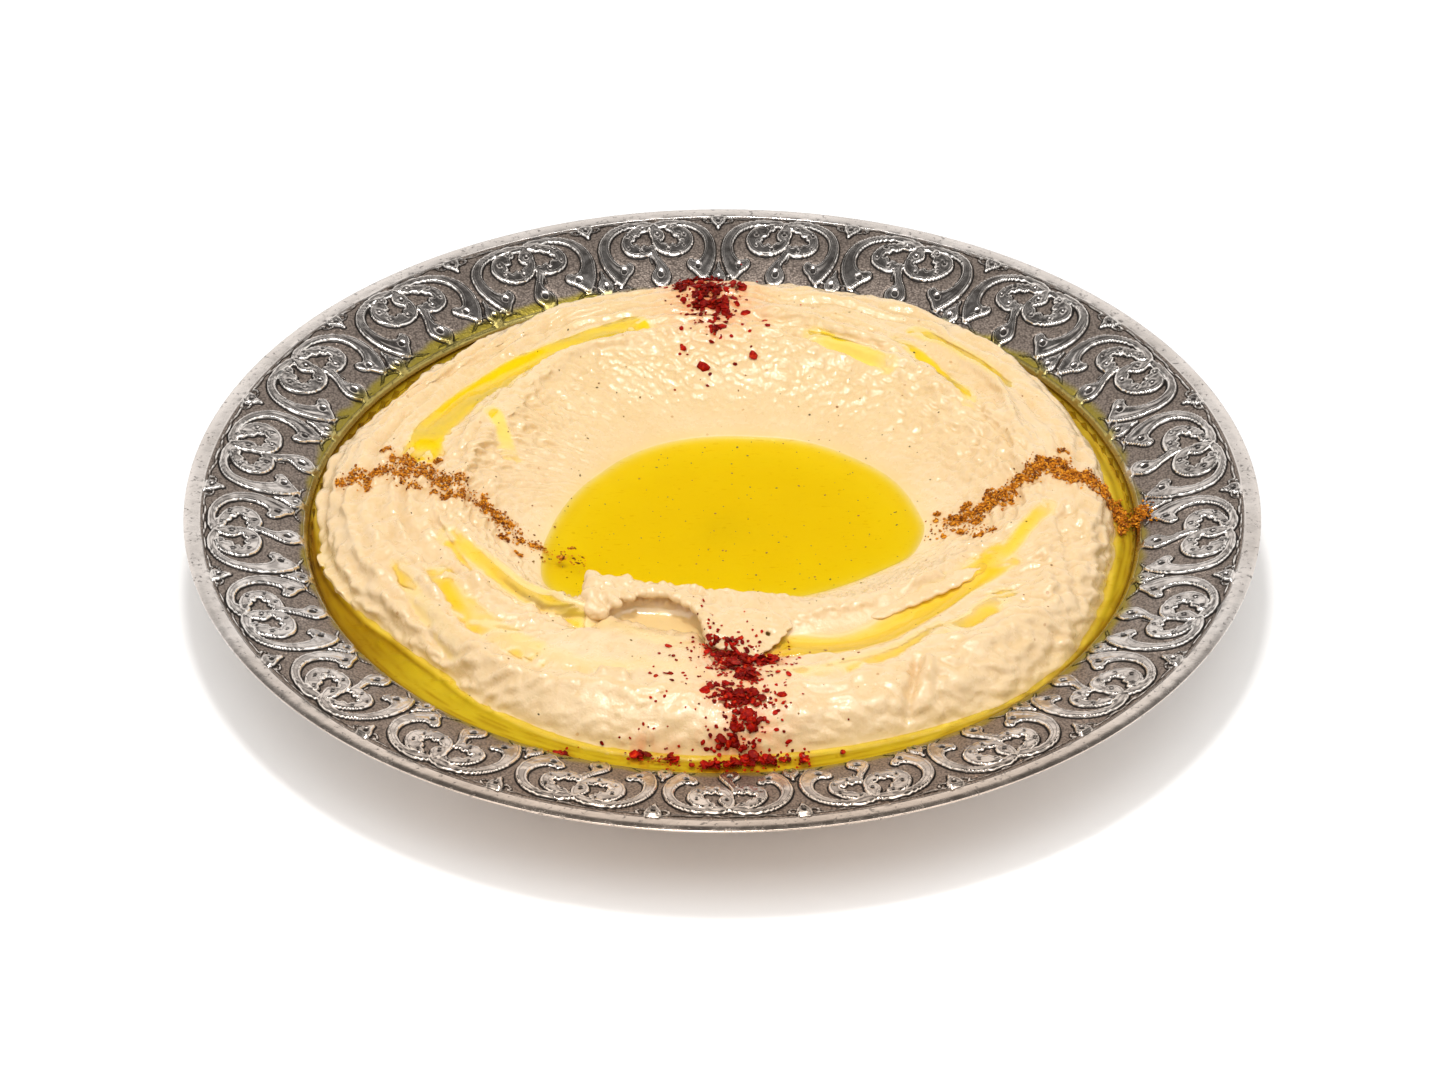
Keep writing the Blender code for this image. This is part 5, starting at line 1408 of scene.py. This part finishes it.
def scatter_specks():
    bits = []
    for _ in range(460):
        a = RNG.uniform(0, 2 * math.pi)
        if RNG.uniform() < 0.55:                            # in the pool
            r = 44 * math.sqrt(RNG.uniform(0, 1)); x, y = r * math.cos(a), r * math.sin(a)
            z, nrm = surface_frame(x, y)
            if z > POOL_Z - 0.3:
                continue
            z, nrm = POOL_Z + 0.01, np.array([0.0, 0.0, 1.0])
        else:
            r = RNG.uniform(34, 86); x, y = r * math.cos(a), r * math.sin(a)
            z, nrm = surface_frame(x, y)
        v, f = grain(float(np.clip(RNG.lognormal(-1.05, 0.30), 0.18, 0.7)), 0.35)
        bits.append((turned_to(v, nrm, RNG.uniform(0, 6.28)) + np.array([x, y, z + 0.03]), f, RNG.uniform(0, 1)))
    obj, shade = joined_bits("herb_specks", bits)
    attribute(obj, "shade", shade)
    return obj


# ---------------------------------------------------------------- assembly
def near_path(X, Y, path):
    return path_distance(X, Y, catmull(path, 4))


X, Y, Z, P = SURF["x"], SURF["y"], SURF["z"], SURF["pos"]
R0 = np.hypot(X, Y)
film_data = []
oil_w = 0.85 * np.exp(-np.maximum(Z - POOL_Z, 0) / 0.9) * (P < 6.0)
oil_w = np.maximum(oil_w, 0.20 * window(SURF["deg"], 20, 160, 20) * (1 - smoothstep(12.5, 15.0, P)))
oil_w = np.maximum(oil_w, np.exp(-np.maximum(Z - MOAT_Z, 0) / 1.3) * (P > 13.0))
near_curl = window(SURF["deg"], 239, 267, 3) * (1 - smoothstep(12.1, 13.2, P))
smooth_top = blurred(Z, 26)
for name, node, films in FILMS:
    top = np.full(Z.shape, -1e3)
    soak = np.zeros(Z.shape)
    for path, wi, wo, thick in films:
        d = near_path(X, Y, path)
        inner = R0 < np.interp(np.arctan2(Y, X), np.sort(np.arctan2(*np.array(path).T[::-1])),
                               np.hypot(*np.array(path).T)[np.argsort(np.arctan2(*np.array(path).T[::-1]))])
        w = np.where(inner, wi, wo)
        prof = 1.0 - (d / w) ** 2
        c = catmull(path, 4)
        ends = np.minimum(np.hypot(X - c[0, 0], Y - c[0, 1]), np.hypot(X - c[-1, 0], Y - c[-1, 1]))
        fade = smoothstep(0.0, 5.0, ends)
        soak = np.maximum(soak, smoothstep(0.0, 0.85, prof) * (0.2 + 0.8 * fade) * min(1.0, 0.15 + 1.3 * thick))
        layer = smooth_top - 0.34 + (thick + 0.15) * np.maximum(prof, -1.0) * (0.35 + 0.65 * fade) + 0.10 * noise2(X / 4, Y / 4, 91)
        layer = np.where(prof < -0.45, -1e3, layer - 3.0 * near_curl)
        top = np.maximum(top, layer)
    film_data.append((name, node, top, soak))
    oil_w = np.maximum(oil_w, smoothstep(-0.5, 0.15, top - Z))
soaked_w = np.zeros(Z.shape)
for name, _, _, soak in film_data:
    soaked_w = np.maximum(soaked_w, (0.72 if "back" in name else 0.22) * soak)
under_w = np.maximum((P < 6.0) * smoothstep(-0.25, 0.15, POOL_Z - Z), (P > 13.0) * smoothstep(-0.15, 0.15, MOAT_Z - Z))
for _, _, top, _ in film_data:
    under_w = np.maximum(under_w, smoothstep(-0.2, 0.1, top - Z))
cavity_wet = window(SURF["deg"], 238, 268, 3) * smoothstep(8.6, 9.2, P) * (1 - smoothstep(11.4, 12.2, P))
oil_w = np.maximum(oil_w, 0.75 * cavity_wet)
oil_w = np.clip(oil_w, 0, 1)

spice_w = np.zeros(Z.shape)
for x, y, sx, sy in CUMIN_LEFT + CUMIN_RIGHT:
    spice_w = np.maximum(spice_w, 0.85 * np.exp(-(((X - x) / (sx + 0.4)) ** 2 + ((Y - y) / (sy + 0.4)) ** 2)))
for path, wide, count in CUMIN_TRAILS:
    spice_w = np.maximum(spice_w, min(0.8, count / 1200.0) * np.exp(-(near_path(X, Y, path) / (1.5 * wide)) ** 2))
spice_w *= smoothstep(-0.45, 0.20, noise2(X / 1.2, Y / 1.2, 95))
chilli_w = np.zeros(Z.shape)
for x, y, sx, sy, n in FLAKE_HEAPS:
    chilli_w = np.maximum(chilli_w, min(0.9, 0.25 + n / 50.0) * np.exp(-(((X - x) / (sx + 1.4)) ** 2 + ((Y - y) / (sy + 1.4)) ** 2)))
chilli_w *= smoothstep(-0.45, 0.25, noise2(X / 1.5, Y / 1.5, 96))

plate = build_plate()
plate.data.materials.append(metal_material())
hummus = build_hummus(oil_w, spice_w, chilli_w, under_w, soaked_w)
cream = hummus_material()
hummus.data.materials.append(cream)
curl = build_curl()
curl.data.materials.append(cream)

depth = POOL_Z - Z
men = 0.03 * np.exp(-np.maximum(depth, 0) / 0.45)
pool_top = POOL_Z + men + 0.03 * noise2(X / 9, Y / 9, 92)
pool = oil_film("oil_pool_surface", pool_top, (P < 4.0) & (depth > -0.75), stride=3,
                extra=np.array([0.93, 0.95, 0.80]) * np.ones(Z.shape + (1,)))
moat_top = MOAT_Z + 0.35 * np.exp(-np.maximum(MOAT_Z - Z, 0) / 0.5) + 0.45 * np.exp(-np.maximum(92.6 - R0, 0) / 0.5)
# the moat's colour, from the foot of the hummus to the plate's wall, as one pass through the oil
foot = around(FOOT_R, SURF["theta"], 1.5)[:, None]
sm = np.radians(SURF["deg"]) * 90.0
wave = 0.45 * noise2(sm / 9.0, R0 / 30.0, 93) + 0.2 * noise2(sm / 3.5, R0 / 30.0, 94)
u_foot, w_wall = R0 - foot + 0.5 * wave, 92.7 - R0 + wave
murk = 0.35 + 0.65 * window(SURF["deg"], 165, 222, 12)
pale = np.maximum(window(SURF["deg"], 298, 326, 8), window(SURF["deg"], 10, 48, 8))
def layer_in(color, w, under):
    return under * (1 - w[..., None]) + np.array(color) * w[..., None]
tone = np.ones(R0.shape + (3,)) * np.array([0.95, 0.93, 0.46])
tone = layer_in((0.80, 0.79, 0.22), smoothstep(0.3, 1.3, u_foot) * (1 - 0.45 * pale), tone)
tone = layer_in((0.56, 0.47, 0.09), 0.72 * window(SURF["deg"], 150, 217, 9) * smoothstep(0.2, 1.2, u_foot), tone)
tone = layer_in((0.40, 0.31, 0.07), 0.9 * murk * np.exp(-((u_foot - 1.7) / 0.38) ** 2), tone)
for k, at in enumerate((1.5, 2.9, 4.3)):
    thin = np.exp(-((w_wall - at - 0.5 * noise2(sm / 14.0, 0 * sm + k, 97 + k)) / 0.29) ** 2) * smoothstep(-0.30, 0.25, noise2(sm / 8.0, 0 * sm + 3.0 * k, 98))
    tone = layer_in((0.52, 0.40, 0.08), 0.9 * thin * smoothstep(1.0, 2.0, u_foot), tone)
# painted shade: darker where the oil meets the plate's wall
tone = layer_in((0.42, 0.33, 0.09), (1 - smoothstep(0.1, 1.5, w_wall)) * smoothstep(0.5, 1.6, u_foot), tone)
moat = oil_film("oil_moat_surface", moat_top, (P > 13.2) & (MOAT_Z - Z > -0.55), stride=2, depth=0 * Z, extra=tone,
                glint=0.10 * np.exp(-((u_foot - 0.9) / 0.5) ** 2) * window(SURF["deg"], 236, 322, 10))
pieces = [(plate, ["plate"], "plate_metal"), (hummus, ["hummus"], "hummus"), (curl, [], "hummus"), (pool, ["oil_pool"], "olive_oil"), (moat, ["oil_moat"], "olive_oil")]
for name, node, top, soak in film_data:
    keep = (top - Z > -0.28) & (P > 6.2) & (P < 13.6)
    pieces.append((oil_film(name, top, keep, sigma=(0.008, 0.014, 0.90) if "back" in name else (0.010, 0.034, 0.90),
                            depth=2.2 * soak if "back" in name else np.minimum((top - Z) * 1.6, 1.2)), [node], "olive_oil"))
still, wet = oil_material("olive_oil_still", 1.07), oil_material("olive_oil_film", 1.40)
for obj, _, s in pieces:
    if s == "olive_oil":
        obj.data.materials.append(still if obj in (pool, moat) else wet)

CURL_TREE = BVHTree.FromPolygons([v.co[:] for v in curl.data.vertices], [p.vertices[:] for p in curl.data.polygons])

flakes = scatter_flakes(); flakes.data.materials.append(flake_material())
cumin = scatter_cumin(); cumin.data.materials.append(cumin_material())
specks = scatter_specks(); specks.data.materials.append(speck_material())
pieces += [(flakes, [], None), (cumin, [], None), (specks, [], None)]

for obj, nodes, s in pieces:
    mesh = obj.data
    uv = mesh.uv_layers.new(name="OFBake")
    co = np.empty(len(mesh.vertices) * 3, np.float32); mesh.vertices.foreach_get("co", co)
    vi = np.empty(len(mesh.loops), np.int32); mesh.loops.foreach_get("vertex_index", vi)
    flat = co.reshape(-1, 3)[vi]
    uv.data.foreach_set("uv", (flat[:, :2] / 0.242 + 0.5).astype(np.float32).ravel())
    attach(obj, BODY)
    if nodes:
        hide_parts(*nodes)

# ---------------------------------------------------------------- floor, light, camera
floor_mesh = bpy.data.meshes.new("floor")
floor_mesh.from_pydata([(-3, -3, 0), (3, -3, 0), (3, 3, 0), (-3, 3, 0)], [], [(0, 1, 2, 3)])
floor = bpy.data.objects.new("floor", floor_mesh)
scene.collection.objects.link(floor)
floor_paint = Nodes("white_sweep")
floor_paint.set(Base_Color=(0.965, 0.96, 0.952, 1), Roughness=0.9)
floor_paint.shader.inputs["Specular IOR Level"].default_value = 0.1
floor_mesh.materials.append(floor_paint.mat)


def softbox(name, where, target, size, power):
    data = bpy.data.lights.new(name, "AREA")
    data.shape = "RECTANGLE"
    data.size, data.size_y = size
    data.energy = power
    obj = bpy.data.objects.new(name, data)
    obj.location = where
    obj.rotation_mode = "QUATERNION"
    obj.rotation_quaternion = (Vector(target) - Vector(where)).to_track_quat("-Z", "Y")
    scene.collection.objects.link(obj)
    return obj


softbox("big_front", (0.0, -0.40, 1.05), (0, 0, 0.0), (1.5, 0.9), 9.9)
softbox("fill_left", (-0.95, -0.55, 0.55), (0, 0, 0.02), (0.8, 0.6), 1.5)
softbox("fill_right", (0.95, -0.55, 0.55), (0, 0, 0.02), (0.8, 0.6), 1.7)
softbox("key", (-0.05, -0.14, 1.15), (0, 0, 0.02), (0.13, 0.13), 4.5)

world = bpy.data.worlds.new("studio")
scene.world = world
world.use_nodes = True
wt = world.node_tree
for node in list(wt.nodes):
    wt.nodes.remove(node)


def sky_ramp(fac, stops):
    node = wt.nodes.new("ShaderNodeValToRGB")
    wt.links.new(fac, node.inputs["Fac"])
    ramp = node.color_ramp
    while len(ramp.elements) < len(stops):
        ramp.elements.new(0.5)
    for e, (p, v) in zip(ramp.elements, stops):
        e.position = p
        e.color = (v, v * 0.985, v * 0.965, 1)
    return node.outputs["Color"]


w_out = wt.nodes.new("ShaderNodeOutputWorld")
w_bg = wt.nodes.new("ShaderNodeBackground")
w_tc = wt.nodes.new("ShaderNodeTexCoord")
w_sep = wt.nodes.new("ShaderNodeSeparateXYZ")
wt.links.new(w_tc.outputs["Generated"], w_sep.inputs[0])
# behind: a white sweep up to 40 degrees, then the dark studio; in front: dim below, brighter above
behind = sky_ramp(w_sep.outputs["Z"], [(0.0, 0.86), (0.34, 1.05), (0.58, 1.05), (0.66, 0.46), (0.71, 0.12), (0.93, 0.07), (0.985, 0.40)])
ahead = sky_ramp(w_sep.outputs["Z"], [(0.0, 0.14), (0.45, 0.20), (0.65, 0.38), (1.0, 0.38)])
w_side = wt.nodes.new("ShaderNodeMapRange")
w_side.interpolation_type = "SMOOTHSTEP"
wt.links.new(w_sep.outputs["Y"], w_side.inputs["Value"])
w_side.inputs["From Min"].default_value = -0.50
w_side.inputs["From Max"].default_value = 0.15
w_mix = wt.nodes.new("ShaderNodeMix")
w_mix.data_type = "RGBA"
wt.links.new(w_side.outputs["Result"], w_mix.inputs[0])
wt.links.new(ahead, w_mix.inputs[6])
wt.links.new(behind, w_mix.inputs[7])
wt.links.new(w_mix.outputs[2], w_bg.inputs["Color"])
wt.links.new(w_bg.outputs[0], w_out.inputs["Surface"])
w_bg.inputs["Strength"].default_value = 1.0

camera_data = bpy.data.cameras.new("camera")
camera = bpy.data.objects.new("camera", camera_data)
scene.collection.objects.link(camera)
ELEV = math.radians(35.158)
eye = Vector((0, 0, 0.0239)) + 1.284 * Vector((0, -math.cos(ELEV), math.sin(ELEV)))
down = ELEV + math.radians(0.4644)
aim = Vector((math.sin(math.radians(0.0209)) * math.cos(down), math.cos(down), -math.sin(down)))
camera.location = eye
camera.rotation_mode = "QUATERNION"
camera.rotation_quaternion = aim.to_track_quat("-Z", "Y")
camera_data.sensor_width = 36.0
camera_data.lens = 142.93
camera_data.clip_start, camera_data.clip_end = 0.05, 20.0
scene.camera = camera

scene.view_settings.view_transform = "Standard"
scene.view_settings.look = "None"
scene.view_settings.exposure = 0.0
scene.view_settings.gamma = 1.0
